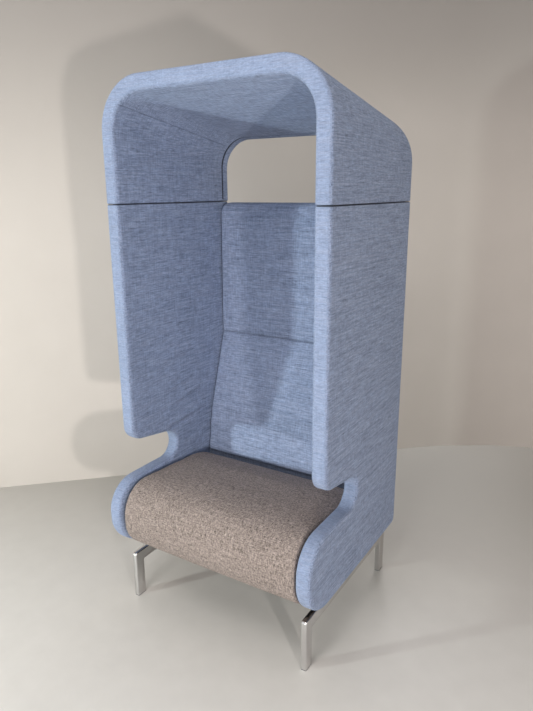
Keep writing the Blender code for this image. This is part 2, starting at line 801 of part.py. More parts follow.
def make_seat():
    drilled = both_sides(panel_bolt_spans() + bearer_bolt_spans())
    drills = tool("seat_holes", rods(holes(drilled, BOLT_HOLE)))

    across_rails = {
        "seat_front_rail": (RAIL_FRONT, RAIL_FRONT + SEAT_RAIL - GAP),
        "seat_rear_rail": (RAIL_REAR - SEAT_RAIL + GAP, RAIL_REAR),
    }
    for name, (front, rear) in across_rails.items():
        part(name, boxes([((-RAIL_OUTER, front, RAIL_BOTTOM), (RAIL_OUTER, rear, RAIL_TOP))]), TIMBER)
    for name, side in (("seat_left_rail", -1), ("seat_right_rail", 1)):
        low, high = sorted((side * RAIL_INNER, side * RAIL_OUTER))
        rail = part(name, boxes([((low, SPAN_FRONT, RAIL_BOTTOM), (high, SPAN_REAR, RAIL_TOP))]), TIMBER)
        combine(rail, drills)

    straps = []
    for index in range(WEB_COUNT):
        middle = RAIL_INNER * ((2 * index + 1) / WEB_COUNT - 1)
        low = (middle - WEB_WIDTH / 2, RAIL_FRONT, RAIL_TOP + GAP)
        straps.append((low, (middle + WEB_WIDTH / 2, RAIL_REAR, WEB_TOP)))
    cross_straps = []
    for index in range(WEB_CROSS_COUNT):
        middle = SPAN_FRONT + (SPAN_REAR - SPAN_FRONT) * (2 * index + 1) / (2 * WEB_CROSS_COUNT)
        low = (-RAIL_OUTER, middle - WEB_WIDTH / 2, RAIL_TOP + GAP)
        cross_straps.append((low, (RAIL_OUTER, middle + WEB_WIDTH / 2, WEB_TOP)))
    webbing = part("seat_webbing", boxes(straps), WEB_ELASTIC)
    combine(webbing, tool("cross_straps", boxes(cross_straps)), "UNION")

    frame_low = (-RAIL_OUTER - GAP, RAIL_FRONT - GAP, UNDERSIDE - REACH)
    frame_high = (RAIL_OUTER + GAP, RAIL_REAR + REACH, WEB_TOP + GAP)
    foam = part("seat_foam", seat_solid(FABRIC + SOFT_GAP), FOAM)
    combine(foam, tool("seat_frame_space", boxes([(frame_low, frame_high)])))
    combine(foam, drills)

    cover = part("seat_cover", seat_solid(0.0), BROWN_FABRIC)
    combine(cover, tool("seat_foam_space", seat_solid(FABRIC)))
    opening = bottom_opening(RAIL_FRONT + HEM, RAIL_REAR - HEM, RAIL_OUTER - HEM)
    combine(cover, tool("seat_opening", opening))
    combine(cover, drills)

    lining_low = (-RAIL_OUTER, RAIL_FRONT, LINING_BOTTOM)
    lining_high = (RAIL_OUTER, REAR - LINING_SETBACK, LINING_BOTTOM + LINING)
    lining = part("underside_lining", boxes([(lining_low, lining_high)]), BLACK_CLOTH)
    combine(lining, drills)

    make_fasteners("panel_bolt", ("front", "rear"), panel_bolt_spans(), bolt)
    make_fasteners("bearer_bolt", ("front", "rear"), bearer_bolt_spans(), bolt)


# Leg frames, bearers and glides


def leg_outline(low):
    return [
        (REAR, low, 0.0),
        (REAR, LEG_TOP, LEG_CORNER),
        (LEG_FRONT, LEG_TOP, LEG_CORNER),
        (LEG_FRONT, low, 0.0),
        (LEG_FRONT + LEG_DEPTH, low, 0.0),
        (LEG_FRONT + LEG_DEPTH, LEG_TOP - LEG_DEPTH, LEG_INNER_CORNER),
        (REAR - LEG_DEPTH, LEG_TOP - LEG_DEPTH, LEG_INNER_CORNER),
        (REAR - LEG_DEPTH, low, 0.0),
    ]


def leg_solid(side, depth, low):
    ends = sorted((side * (LEG_OUTER - LEG_WIDTH + depth), side * (LEG_OUTER - depth)))
    mesh = extruded(inset(leg_outline(-REACH), depth), "X", *ends, LEG_ROUND - depth)
    return trimmed(mesh, (0, 0, low), (0, 0, -1))


def make_leg_frame(name, side):
    frame = part(name + "_leg_frame", leg_solid(side, 0.0, LEG_BOTTOM), CHROME)
    combine(frame, tool(name + "_leg_bore", leg_solid(side, LEG_WALL, -REACH / 2)))
    combine(frame, tool(name + "_leg_holes", rods(holes(both_sides(rail_bolt_spans()), BOLT_HOLE))))


def make_glide(name, side, front):
    """A glide: a plate under the tube's end, with a plug up inside it."""
    low = (side * LEG_MIDDLE - LEG_WIDTH / 2, front)
    high = (side * LEG_MIDDLE + LEG_WIDTH / 2, front + LEG_DEPTH)
    plate = box_outline(low, high, LEG_ROUND)
    plug = inset(plate, LEG_WALL + GLIDE_FIT)
    glide = part(name, extruded(plate, "Z", 0.0, GLIDE_BASE), GREY_PLASTIC)
    combine(glide, tool(name + "_plug", extruded(plug, "Z", GLIDE_BASE / 2, GLIDE_PLUG)), "UNION")


def make_bearer(name, middle):
    section = box_outline(
        (middle - BEARER_DEPTH / 2, BEARER_BOTTOM), (middle + BEARER_DEPTH / 2, BEARER_TOP), BEARER_ROUND
    )
    bearer = part(name, extruded(section, "X", -LEG_OUTER, LEG_OUTER), BLACK_STEEL)
    bore = extruded(inset(section, BEARER_WALL), "X", -LEG_OUTER - REACH, LEG_OUTER + REACH)
    combine(bearer, tool(name + "_bore", bore))
    drills = holes(both_sides(rail_bolt_spans() + bearer_bolt_spans()), BOLT_HOLE)
    combine(bearer, tool(name + "_holes", rods(drills)))


def make_base():
    for name, side in (("left", -1), ("right", 1)):
        make_leg_frame(name, side)
        make_glide("front_" + name + "_glide", side, LEG_FRONT)
        make_glide("rear_" + name + "_glide", side, REAR - LEG_DEPTH)
    for name, middle in zip(("front_bearer", "rear_bearer"), BEARER_PLACES):
        make_bearer(name, middle)
    make_fasteners("rail_bolt", ("front", "rear"), rail_bolt_spans(), bolt)


make_base()
make_seat()
make_back()
make_side_panel("left_panel", -1)
make_side_panel("right_panel", 1)
make_hood()
bpy.context.view_layer.update()
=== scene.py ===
import math

import bmesh
import bpy
from mathutils import Matrix, Vector, noise


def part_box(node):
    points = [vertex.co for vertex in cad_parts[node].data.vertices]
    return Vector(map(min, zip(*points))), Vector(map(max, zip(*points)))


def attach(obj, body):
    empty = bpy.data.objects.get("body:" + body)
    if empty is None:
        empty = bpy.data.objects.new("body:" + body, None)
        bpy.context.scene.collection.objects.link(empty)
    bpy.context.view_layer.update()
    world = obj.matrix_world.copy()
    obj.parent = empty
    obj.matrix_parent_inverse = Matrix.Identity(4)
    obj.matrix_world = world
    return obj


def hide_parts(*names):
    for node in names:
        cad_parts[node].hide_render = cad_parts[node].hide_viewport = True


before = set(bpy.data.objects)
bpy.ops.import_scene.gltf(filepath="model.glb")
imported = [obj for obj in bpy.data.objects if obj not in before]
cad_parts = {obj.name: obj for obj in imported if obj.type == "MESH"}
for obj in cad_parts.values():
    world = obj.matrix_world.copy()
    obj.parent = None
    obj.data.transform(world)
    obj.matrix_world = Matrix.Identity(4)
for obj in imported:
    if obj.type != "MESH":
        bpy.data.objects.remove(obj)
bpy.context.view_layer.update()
print("frame loaded:", len(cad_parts), "nodes")

# the pod's own measures, in metres, as the solids have them
pod = {
    "front": -0.350,
    "rear": 0.350,
    "half": 0.400,
    "panel": 0.050,
    "underside": 0.214,
    "split": 1.413,
    "wingFront": -0.258,
    "armTop": 0.467,
    "softHalf": 0.3495,
    "lumbarSlope": math.radians(7.2),
}
pod["inner"] = pod["half"] - pod["panel"]
pod["depth"] = pod["rear"] - pod["wingFront"]

onPlane = 1e-5  # a point this close to a plane lies on it
cutSnap = 0.0003  # a cut takes over points this close to it
slack = 1e-4  # as good as nothing
sideways = 0.62  # a normal that leans this far over belongs to a side or a rim


class Wire:
    # one shader socket; sums with it become Math nodes
    def __init__(self, owner, socket):
        self.owner = owner
        self.socket = socket

    def other(self, output):
        return Wire(self.owner, self.socket.node.outputs[output])

    def math(self, operation, first, second=0.0):
        return self.owner.node("ShaderNodeMath", {"operation": operation}, {0: first, 1: second})

    def __add__(self, other):
        return self.math("ADD", self, other)

    __radd__ = __add__

    def __sub__(self, other):
        return self.math("SUBTRACT", self, other)

    def __rsub__(self, other):
        return self.math("SUBTRACT", other, self)

    def __mul__(self, other):
        return self.math("MULTIPLY", self, other)

    __rmul__ = __mul__

    def __gt__(self, other):
        return self.math("GREATER_THAN", self, other)

    def sine(self):
        return self.math("SINE", self)

    def most(self, other):
        return self.math("MAXIMUM", self, other)

    def swing(self, amount):
        # noise, which lies round 0.5, as a swing round 0
        return (self - 0.5) * amount

    def between(self, low, high):
        # 0 below low, 1 above high, smooth between them
        return self.owner.node(
            "ShaderNodeMapRange",
            {"interpolation_type": "SMOOTHSTEP"},
            {"Value": self, "From Min": low, "From Max": high},
        )


class NodeTree:
    # the nodes of a material or of the world
    def __init__(self, tree):
        self.tree = tree

    def node(self, kind, settings=None, inputs=None, output=0):
        made = self.tree.nodes.new(kind)
        for name, value in (settings or {}).items():
            setattr(made, name, value)
        for socket, value in (inputs or {}).items():
            self.plug(value, made.inputs[socket])
        return Wire(self, made.outputs[output])

    def plug(self, value, socket):
        if isinstance(value, Wire):
            self.tree.links.new(value.socket, socket)
        else:
            socket.default_value = value


class Finish(NodeTree):
    # a material and what its shader is fed with
    def __init__(self, name, **fixed):
        self.material = bpy.data.materials.new(name)
        self.material.use_nodes = True
        super().__init__(self.material.node_tree)
        self.shader = self.tree.nodes["Principled BSDF"]
        for socket, value in fixed.items():
            self.shader.inputs[socket.replace("_", " ")].default_value = value

    def feed(self, socket, value):
        self.plug(value, self.shader.inputs[socket])

    def place(self):
        return self.node("ShaderNodeTexCoord", output="Object")

    def spread(self, point, factors):
        return self.node("ShaderNodeVectorMath", {"operation": "MULTIPLY"}, {0: point, 1: factors})

    def shifted(self, point, offset):
        return self.node("ShaderNodeVectorMath", {"operation": "ADD"}, {0: point, 1: offset})

    def scaled(self, vector, amount):
        # also a colour made lighter or darker by a value round 1
        return self.node("ShaderNodeVectorMath", {"operation": "SCALE"}, {0: vector, "Scale": amount})

    def axes(self, point):
        first = self.node("ShaderNodeSeparateXYZ", inputs={0: point})
        return [first.other(index) for index in range(3)]

    def speckle(self, point, scale=1.0, detail=2.0, roughness=0.5, output=0):
        inputs = {"Vector": point, "Scale": scale, "Detail": detail, "Roughness": roughness}
        return self.node("ShaderNodeTexNoise", {"noise_dimensions": "3D"}, inputs, output)

    def blend(self, factor, first, second):
        mixer = {"data_type": "RGBA", "blend_type": "MIX"}
        return self.node("ShaderNodeMix", mixer, {0: factor, 6: first, 7: second}, output=2)

    def bump(self, height, distance, strength=1.0):
        inputs = {"Height": height, "Distance": distance, "Strength": strength}
        self.feed("Normal", self.node("ShaderNodeBump", {}, inputs))

    def clearWhere(self, factor):
        # lets light and sight through where the factor is 1
        solid = Wire(self, self.shader.outputs[0])
        clear = self.node("ShaderNodeBsdfTransparent")
        mixed = self.node("ShaderNodeMixShader", {}, {0: factor, 1: solid, 2: clear})
        self.plug(mixed, self.tree.nodes["Material Output"].inputs["Surface"])


def screen(red, green, blue):
    # a screen colour of 0 to 255 as a linear one
    def channel(value):
        share = value / 255
        return share / 12.92 if share <= 0.04045 else ((share + 0.055) / 1.055) ** 2.4

    return (channel(red), channel(green), channel(blue), 1.0)


# where each yarn reads its noise, so that no two of them run alike
yarnPlaces = {
    "weft": (11.0, 2.0, 9.0),
    "fine": (5.0, 19.0, 3.0),
    "warp": (1.0, 12.0, 4.0),
    "nub": (8.0, 4.0, 23.0),
    "long": (31.0, 17.0, 5.0),
    "slub": (3.1, 7.7, 1.3),
    "grain": (13.0, 6.0, 2.0),
}


# woven cloth: yarns are noise drawn out along a thread, as (across, along) counts per metre
def clothFinish(name, look):
    cloth = Finish(
        name,
        Sheen_Weight=look["sheen"],
        Sheen_Roughness=look["sheenRoughness"],
        Sheen_Tint=look["sheenTint"],
        Specular_IOR_Level=look["gloss"],
    )
    still = cloth.place()
    wander = cloth.speckle(still, look["driftScale"], detail=1.0, output="Color")
    point = cloth.shifted(still, cloth.scaled(wander, look["drift"]))

    # threads run along X where the turn is 1, and along Y elsewhere
    run = cloth.node("ShaderNodeAttribute", {"attribute_name": "threadTurn"}, output="Fac")
    turn = run > 0.5
    # tight rims, which show less of the yarn
    rim = run.between(*look["rimStart"]) - run.between(*look["rimEnd"])

    def threads(yarn, detail=1.0):
        across, along = look[yarn]
        spans = {0: turn, 4: (across, along, across), 5: (along, across, across)}
        factors = cloth.node("ShaderNodeMix", {"data_type": "VECTOR"}, spans, output=1)
        drawnOut = cloth.shifted(cloth.spread(point, factors), yarnPlaces[yarn])
        return cloth.speckle(drawnOut, detail=detail)

    weft = threads("weft", detail=2.0)
    fine = threads("fine")
    warp = threads("warp")
    nub = threads("nub")
    long = threads("long")
    tint = long.between(*look["tintRange"])
    slubs = threads("slub").between(*look["slubRange"])
    broad = cloth.speckle(still, look["broadScale"])

    colour = cloth.blend(tint * look["tintStrength"], look["base"], look["grey"])
    colour = cloth.blend(slubs * look["slubStrength"], colour, look["dark"])
    yarn = weft.swing(look["weftTone"]) + fine.swing(look["fineTone"])
    yarn = yarn + warp.swing(look["warpTone"]) + long.swing(look["longTone"])
    grain = rim * threads("grain").swing(look["grainTone"])
    tone = 1.0 + yarn * (look["contrast"] - rim * look["rimLoss"])
    tone = tone + grain + broad.swing(look["broadTone"])
    # painted shade: the cloth is darkened where its points are marked as lying in seams, creases and the
    # recess under the back
    seam = cloth.node("ShaderNodeAttribute", {"attribute_name": "paintedSeamShade"}, output="Fac")
    cloth.feed("Base Color", cloth.scaled(colour, tone * (1.0 - seam * look["paintedShadeStrength"])))
    cloth.feed("Roughness", look["roughness"] + weft.swing(look["roughSwing"]))

    waves = [(axis * (math.tau / look["pitch"])).sine() for axis in cloth.axes(point)]
    weave = (waves[0] + waves[1] + waves[2]) * look["weaveRise"]
    height = weave + fine * look["fineRise"] + weft * look["weftRise"] + nub * look["nubRise"]
    cloth.bump(height, look["relief"], look["bumpStrength"])
    return cloth.material


blueLook = {
    "base": screen(137, 151, 180),
    "grey": screen(134, 136, 152),
    "dark": screen(74, 84, 110),
    "sheen": 0.12,
    "sheenRoughness": 0.5,
    "sheenTint": (0.84, 0.90, 1.0, 1.0),
    "gloss": 0.2,
    "roughness": 0.88,
    "roughSwing": 0.2,
    "drift": 0.0012,
    "driftScale": 6.0,
    # yarns, as (across, along) counts per metre
    "weft": (270.0, 48.0),
    "fine": (760.0, 90.0),
    "warp": (30.0, 270.0),
    "long": (260.0, 9.0),
    "slub": (300.0, 24.0),
    "nub": (240.0, 110.0),
    "grain": (460.0, 130.0),
    "broadScale": 5.0,
    # how much lighter and darker each makes the cloth
    "weftTone": 0.8,
    "fineTone": 0.5,
    "warpTone": 0.5,
    "longTone": 0.85,
    "broadTone": 0.08,
    "contrast": 1.25,
    "rimStart": (0.5, 0.7),
    "rimEnd": (0.85, 0.97),
    "rimLoss": 0.75,
    "grainTone": 0.6,
    "tintRange": (0.45, 0.62),
    "tintStrength": 0.28,
    "slubRange": (0.62, 0.74),
    "slubStrength": 0.3,
    # how dark the painted shade makes seams, creases and the recess
    "paintedShadeStrength": 0.92,
    # relief, in metres, and each yarn's share of it
    "pitch": 0.0024,
    "relief": 0.0020,
    "bumpStrength": 0.7,
    "weaveRise": 0.16,
    "fineRise": 0.3,
    "weftRise": 0.3,
    "nubRise": 0.9,
}
brownLook = dict(
    blueLook,
    base=screen(142, 129, 123),
    grey=screen(124, 118, 117),
    dark=screen(84, 75, 71),
    sheen=0.08,
    sheenTint=(1.0, 0.94, 0.90, 1.0),
    weft=(420.0, 90.0),
    fine=(800.0, 240.0),
    warp=(90.0, 420.0),
    long=(400.0, 20.0),
    slub=(400.0, 100.0),
    nub=(420.0, 330.0),
    weftTone=1.3,
    fineTone=0.8,
    warpTone=1.4,
    longTone=0.6,
    contrast=1.3,
    tintStrength=0.15,
    slubStrength=0.35,
)
blueCloth = clothFinish("blueCloth", blueLook)
brownCloth = clothFinish("brownCloth", brownLook)
print("cloth finishes made")


chromeLook = {
    "dark": (0.61, 0.60, 0.60, 1.0),
    "light": (0.70, 0.69, 0.69, 1.0),
    "smudgeScale": 28.0,
    "smudgeRange": (0.45, 0.8),
    "polishRuns": (900.0, 40.0, 40.0),  # fine lines left by the polishing, per metre
    "roughness": 0.06,
    "smudgeRoughness": 0.08,
    "polishRoughness": 0.02,
    "relief": 0.00002,
    "smudgeRise": 2.0,
    "bumpStrength": 0.5,
}


def chromeFinish(name, look):
    chrome = Finish(name, Metallic=1.0)
    point = chrome.place()
    smudge = chrome.speckle(point, look["smudgeScale"], detail=4.0, roughness=0.6)
    polish = chrome.speckle(chrome.spread(point, look["polishRuns"]))
    dull = smudge.between(*look["smudgeRange"]) * look["smudgeRoughness"]
    chrome.feed("Base Color", chrome.blend(smudge, look["dark"], look["light"]))
    chrome.feed("Roughness", look["roughness"] + dull + polish * look["polishRoughness"])
    chrome.bump(polish + smudge * look["smudgeRise"], look["relief"], look["bumpStrength"])
    return chrome.material


# quiet finishes: two shades, a grain per metre, and a stretch that draws it out
plainLooks = {
    "zincSteel": {
        "shades": (screen(150, 152, 156), screen(188, 190, 194)),
        "grain": 700.0,
        "roughness": 0.35,
        "relief": 0.00005,
        "metallic": 1.0,
    },
    "blackSteel": {
        "shades": (screen(26, 26, 28), screen(38, 38, 41)),
        "grain": 500.0,
        "roughness": 0.5,
        "relief": 0.0001,
    },
    "greyPlastic": {
        "shades": (screen(78, 79, 82), screen(98, 99, 102)),
        "grain": 600.0,
        "roughness": 0.55,
        "relief": 0.0001,
    },
    "filmPly": {
        "shades": (screen(52, 43, 38), screen(74, 62, 54)),
        "grain": 60.0,
        "stretch": (8.0, 8.0, 0.8),
        "roughness": 0.6,
        "relief": 0.0002,
    },
    "timber": {
        "shades": (screen(168, 128, 84), screen(206, 170, 122)),
        "grain": 60.0,
        "stretch": (0.8, 8.0, 8.0),
        "roughness": 0.7,
        "relief": 0.0002,
    },
    "foam": {
        "shades": (screen(214, 204, 176), screen(236, 229, 208)),
        "grain": 420.0,
        "roughness": 0.95,
        "relief": 0.0008,
    },
    "webElastic": {
        "shades": (screen(56, 52, 47), screen(86, 81, 74)),
        "grain": 500.0,
        "roughness": 0.9,
        "relief": 0.0004,
    },
    "blackLining": {
        "shades": (screen(22, 22, 24), screen(36, 36, 38)),
        "grain": 900.0,
        "roughness": 0.95,
        "relief": 0.0003,
    },
}
# what they have in common: a broad pattern under the grain, and how both tell
plainTone = {
    "broadScale": 0.12,
    "fine": 0.6,
    "broad": 0.4,
    "range": (0.3, 0.7),
    "roughSwing": 0.2,
    "bumpStrength": 0.6,
}


def plainFinish(name, look):
    plain = Finish(name, Metallic=look.get("metallic", 0.0))
    point = plain.spread(plain.place(), look.get("stretch", (1.0, 1.0, 1.0)))
    fine = plain.speckle(point, look["grain"], detail=4.0, roughness=0.6)
    broad = plain.speckle(point, look["grain"] * plainTone["broadScale"])
    tone = fine * plainTone["fine"] + broad * plainTone["broad"]
    plain.feed("Base Color", plain.blend(tone.between(*plainTone["range"]), *look["shades"]))
    plain.feed("Roughness", look["roughness"] + fine.swing(plainTone["roughSwing"]))
    plain.bump(fine, look["relief"], plainTone["bumpStrength"])
    return plain.material


plainFinishes = {name: plainFinish(name, look) for name, look in plainLooks.items()}

# the solids that stay, by the last word of their names
nodeFinishes = {
    "glide": "greyPlastic",
    "bearer": "blackSteel",
    "bolt": "zincSteel",
    "screw": "zincSteel",
    "pin": "zincSteel",
    "bracket": "zincSteel",
    "board": "filmPly",
    "shell": "filmPly",
    "rail": "timber",
    "foam": "foam",
    "webbing": "webElastic",
}
for name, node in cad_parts.items():
    finish = nodeFinishes.get(name.rsplit("_", 1)[-1])
    if finish:
        node.data.materials.clear()
        node.data.materials.append(plainFinishes[finish])
print("finishes of the carried-over pieces made")


def share(value, start, end):
    # 0 at the start, 1 at the end, smooth between them
    part = min(max((value - start) / (end - start), 0.0), 1.0)
    return part * part * (3 - 2 * part)


def flatOutline(corners, place, arcStep=math.radians(6), fewest=4):
    # a filled outline of (across, up, radius) corners, each radius an arc
    bm = bmesh.new()
    ring = [bm.verts.new(place(across, up)) for across, up, radius in corners]
    bm.faces.new(ring)
    points = [vert.co.copy() for vert in ring]
    for index, (across, up, radius) in enumerate(corners):
        if not radius:
            continue
        toBefore = points[index - 1] - points[index]
        toAfter = points[(index + 1) % len(points)] - points[index]
        turn = math.pi - toBefore.angle(toAfter)
        bmesh.ops.bevel(
            bm,
            geom=[ring[index]],
            offset=radius * math.tan(turn / 2),
            offset_type="OFFSET",
            segments=max(fewest, round(turn / arcStep)),
            profile=0.5,
            affect="VERTICES",
            material=-1,
        )
    return bm


def pullOut(bm, shift):
    # gives a flat outline its thickness
    region = bmesh.ops.extrude_face_region(bm, geom=bm.faces[:])
    moved = [item for item in region["geom"] if isinstance(item, bmesh.types.BMVert)]
    bmesh.ops.translate(bm, verts=moved, vec=shift)
    bmesh.ops.recalc_face_normals(bm, faces=bm.faces)


def roundEdges(bm, edges, radius, segments):
    bmesh.ops.bevel(
        bm,
        geom=edges,
        offset=radius,
        offset_type="OFFSET",
        segments=segments,
        profile=0.5,
        affect="EDGES",
        material=-1,
    )


def rimEdges(bm, axis, ends):
    def onEnd(edge):
        return any(all(abs(vert.co[axis] - end) < onPlane for vert in edge.verts) for end in ends)

    return [edge for edge in bm.edges if onEnd(edge)]


def toObject(bm, name):
    mesh = bpy.data.meshes.new(name)
    bm.to_mesh(mesh)
    bm.free()
    piece = bpy.data.objects.new(name, mesh)
    bpy.context.scene.collection.objects.link(piece)
    return piece


def settle(piece):
    # puts what the modifiers make into the mesh itself
    bpy.context.view_layer.update()
    graph = bpy.context.evaluated_depsgraph_get()
    made = bpy.data.meshes.new_from_object(piece.evaluated_get(graph))
    old = piece.data
    piece.modifiers.clear()
    piece.data = made
    bpy.data.meshes.remove(old)
    made.name = piece.name
    return piece


def evenMesh(piece, voxel, smoothing=2):
    remesh = piece.modifiers.new("even", "REMESH")
    remesh.mode = "VOXEL"
    remesh.voxel_size = voxel
    relax = piece.modifiers.new("relax", "SMOOTH")
    relax.factor = 0.5
    relax.iterations = smoothing
    return settle(piece)


def openMesh(piece):
    bm = bmesh.new()
    bm.from_mesh(piece.data)
    bm.normal_update()
    return bm


def closeMesh(bm, piece):
    bm.to_mesh(piece.data)
    bm.free()
    piece.data.update()
    return piece


def shiftEach(moves):
    for vert, move in moves:
        vert.co += move


def cutAcross(bm, at, across, chosen=None):
    # a row of extra points where a plane crosses the chosen faces
    faces = bm.faces[:]
    if chosen:
        faces = [face for face in faces if chosen(face.calc_center_median(), face.normal)]
    edges = {edge for face in faces for edge in face.edges}
    verts = {vert for face in faces for vert in face.verts}
    touched = list(verts) + list(edges) + faces
    bmesh.ops.bisect_plane(bm, geom=touched, dist=cutSnap, plane_co=at, plane_no=across)
    bm.normal_update()


def cutLevels(bm, levels, chosen=None):
    for level in levels:
        cutAcross(bm, (0, 0, level), (0, 0, 1), chosen)


# painted shade: each point's share of darkening, for cloth in seams, creases and recesses
def paintedShadeLayer(bm):
    return bm.verts.layers.float.get("paintedSeamShade") or bm.verts.layers.float.new("paintedSeamShade")


def sewLine(bm, at, across, seam, chosen):
    # a sewn seam: a narrow groove along the plane through a point, with painted shade in it
    at, across, width = Vector(at), Vector(across).normalized(), seam["width"]
    paintedShade = paintedShadeLayer(bm)
    for row in (-1.0, -0.45, 0.0, 0.45, 1.0):
        cutAcross(bm, at + across * width * row, across, chosen)
    moves = []
    for vert in bm.verts:
        away = abs((vert.co - at).dot(across)) / width
        if away < 1 and chosen(vert.co, vert.normal):
            moves.append((vert, vert.normal * -seam["depth"] * (1 - away)))
            vert[paintedShade] = seam["dark"] * (1 - away)
    shiftEach(moves)
    bm.normal_update()


# rows and spacing of the turn-in, and how far in its painted shade fades out
trimShape = {"rows": 4, "spacing": 1.5, "paintedShadeReach": 0.6}


def trimFlat(bm, height, keepBelow, turnIn):
    # cuts flat at the split and turns the cloth in over a small round, with painted shade where it turns
    # in
    rows = trimShape["rows"]
    sense = 1 if keepBelow else -1
    paintedShade = paintedShadeLayer(bm)
    bmesh.ops.bisect_plane(
        bm,
        geom=bm.verts[:] + bm.edges[:] + bm.faces[:],
        dist=cutSnap,
        plane_co=(0, 0, height),
        plane_no=(0, 0, sense),
        clear_outer=True,
    )
    depths = [turnIn * (row / rows) ** trimShape["spacing"] for row in range(1, rows + 1)]
    cutLevels(bm, [height - sense * depth for depth in depths])
    moves = []
    for vert in bm.verts:
        below = sense * (height - vert.co.z)
        flat = Vector((vert.normal.x, vert.normal.y, 0))
        if below < turnIn and flat.length > slack:
            inset = turnIn - math.sqrt(max(turnIn**2 - (turnIn - below) ** 2, 0))
            moves.append((vert, flat.normalized() * -inset))
            vert[paintedShade] = 1 - share(below, 0, turnIn * trimShape["paintedShadeReach"])
    shiftEach(moves)
    bmesh.ops.holes_fill(bm, edges=[edge for edge in bm.edges if edge.is_boundary], sides=0)
    bmesh.ops.recalc_face_normals(bm, faces=bm.faces)
    bm.normal_update()


foldShape = {"trough": 0.6, "troughPlace": 1.7}  # shares of a fold's height and width


def foldHeight(across, up, folds):
    # soft folds of the cloth, each a low ridge with a shallow trough below it
    total = 0.0
    for start, end, height, width in folds:
        run = Vector(end) - Vector(start)
        away = Vector((across, up)) - (Vector(start) + Vector(end)) / 2
        along = away.dot(run.normalized()) / (run.length / 2)
        beside = away.dot(Vector((-run.y, run.x)).normalized()) / width
        ridge = math.exp(-(beside**2))
        trough = foldShape["trough"] * math.exp(-((beside + foldShape["troughPlace"]) ** 2))
        total += height * (ridge - trough) * math.exp(-(along**4))
    return total


def dress(piece, finish, replaced):
    # material and the links to the solids
    mesh = piece.data
    mesh.materials.clear()
    mesh.materials.append(finish)
    mesh.shade_smooth()
    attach(piece, "root")
    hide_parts(*replaced)
    print(piece.name, len(mesh.polygons), "faces")


def dressPad(piece, finish, replaced, turned):
    # a pad's threads turn where its faces do
    mesh = piece.data
    turns = mesh.attributes.new("threadTurn", "FLOAT", "POINT")
    turns.data.foreach_set("value", [turned(vert.co, vert.normal) for vert in mesh.vertices])
    dress(piece, finish, replaced)


panelShape = {
    "notchDepth": 0.231,
    "notchHeight": 0.102,
    "notchEase": 0.995,  # keeps the notch's two arcs from meeting
    "wingRise": math.radians(8.8),
    "wingCorner": 0.052,
    "heelCorner": 0.024,
    "noseTop": 0.108,
    "noseLow": 0.125,
    "rim": 0.011,
    "rimSteps": 5,
    "rimRun": 0.8,
    "voxel": 0.005,
    "trimmed": 0.04,  # made this much too high, and cut at the split
    "splitGap": 0.0006,
    "splitRound": 0.005,
    "fill": 0.9,
    "flat": 0.5,  # a normal past this belongs to a flat side
    # the outer face bows between these heights and depths
    "bow": 0.0016,
    "bowLow": (0.23, 0.40),
    "bowHigh": (1.28, 1.40),
    "bowFront": (-0.33, -0.10),
    "bowRear": (0.18, 0.34),
    "ripple": 0.0005,
    "rippleScale": 7.0,
    "rippleApart": 5.0,
    # folds of the inner wall: from (y, z) to (y, z), height, width
    "leftFolds": [
        ((-0.071, 0.602), (0.150, 0.622), 0.0045, 0.009),
        ((-0.042, 0.681), (0.131, 0.713), 0.0036, 0.009),
        ((-0.066, 0.740), (0.083, 0.763), 0.0025, 0.009),
        ((-0.150, 0.830), (0.120, 0.900), 0.0016, 0.015),
    ],
    "rightFolds": [
        ((-0.060, 0.612), (0.120, 0.640), 0.0036, 0.009),
        ((-0.040, 0.700), (0.100, 0.735), 0.0025, 0.010),
        ((-0.140, 0.860), (0.090, 0.910), 0.0015, 0.015),
    ],
}


def panelCorners(top):
    shape = panelShape
    wingTurn = math.radians(45) - shape["wingRise"] / 2
    notch = shape["notchHeight"] / (1 + math.tan(wingTurn)) * shape["notchEase"]
    notchBack = pod["wingFront"] + shape["notchDepth"]
    notchTop = pod["armTop"] + shape["notchHeight"]
    wingLow = notchTop + shape["notchDepth"] * math.tan(shape["wingRise"])
    return [
        (pod["rear"], pod["underside"], shape["heelCorner"]),
        (pod["rear"], top, 0),
        (pod["wingFront"], top, 0),
        (pod["wingFront"], wingLow, shape["wingCorner"]),
        (notchBack, notchTop, notch),
        (notchBack, pod["armTop"], notch),
        (pod["front"], pod["armTop"], shape["noseTop"]),
        (pod["front"], pod["underside"], shape["noseLow"]),
    ]


def makePanel(name, side):
    shape = panelShape
    corners = panelCorners(pod["split"] + shape["trimmed"])
    bm = flatOutline(corners, lambda across, up: (side * pod["inner"], across, up))
    pullOut(bm, (side * pod["panel"], 0, 0))
    faces = (side * pod["inner"], side * pod["half"])
    roundEdges(bm, rimEdges(bm, 0, faces), shape["rim"], shape["rimSteps"])
    piece = evenMesh(toObject(bm, name + "PanelPad"), shape["voxel"])
    bm = openMesh(piece)
    trimFlat(bm, pod["split"] - shape["splitGap"], True, shape["splitRound"])
    apart = Vector((side * shape["rippleApart"], 0, 0))
    for vert in bm.verts:
        outside = side * vert.normal.x
        middle = share(vert.co.z, *shape["bowLow"]) * (1 - share(vert.co.z, *shape["bowHigh"]))
        middle *= share(vert.co.y, *shape["bowFront"]) * (1 - share(vert.co.y, *shape["bowRear"]))
        soft = noise.noise(vert.co * shape["rippleScale"] + apart) * shape["ripple"]
        if outside > shape["flat"]:
            vert.co.x += side * (shape["bow"] * middle + soft)
        elif outside < -shape["flat"]:
            folds = foldHeight(vert.co.y, vert.co.z, shape[name + "Folds"])
            vert.co.x -= side * (folds - abs(soft))
    dressPad(
        closeMesh(bm, piece),
        blueCloth,
        (name + "_panel_cover", name + "_panel_foam"),
        lambda point, normal: shape["rimRun"] if abs(normal.x) < sideways else 0.0,
    )


makePanel("left", -1)
makePanel("right", 1)


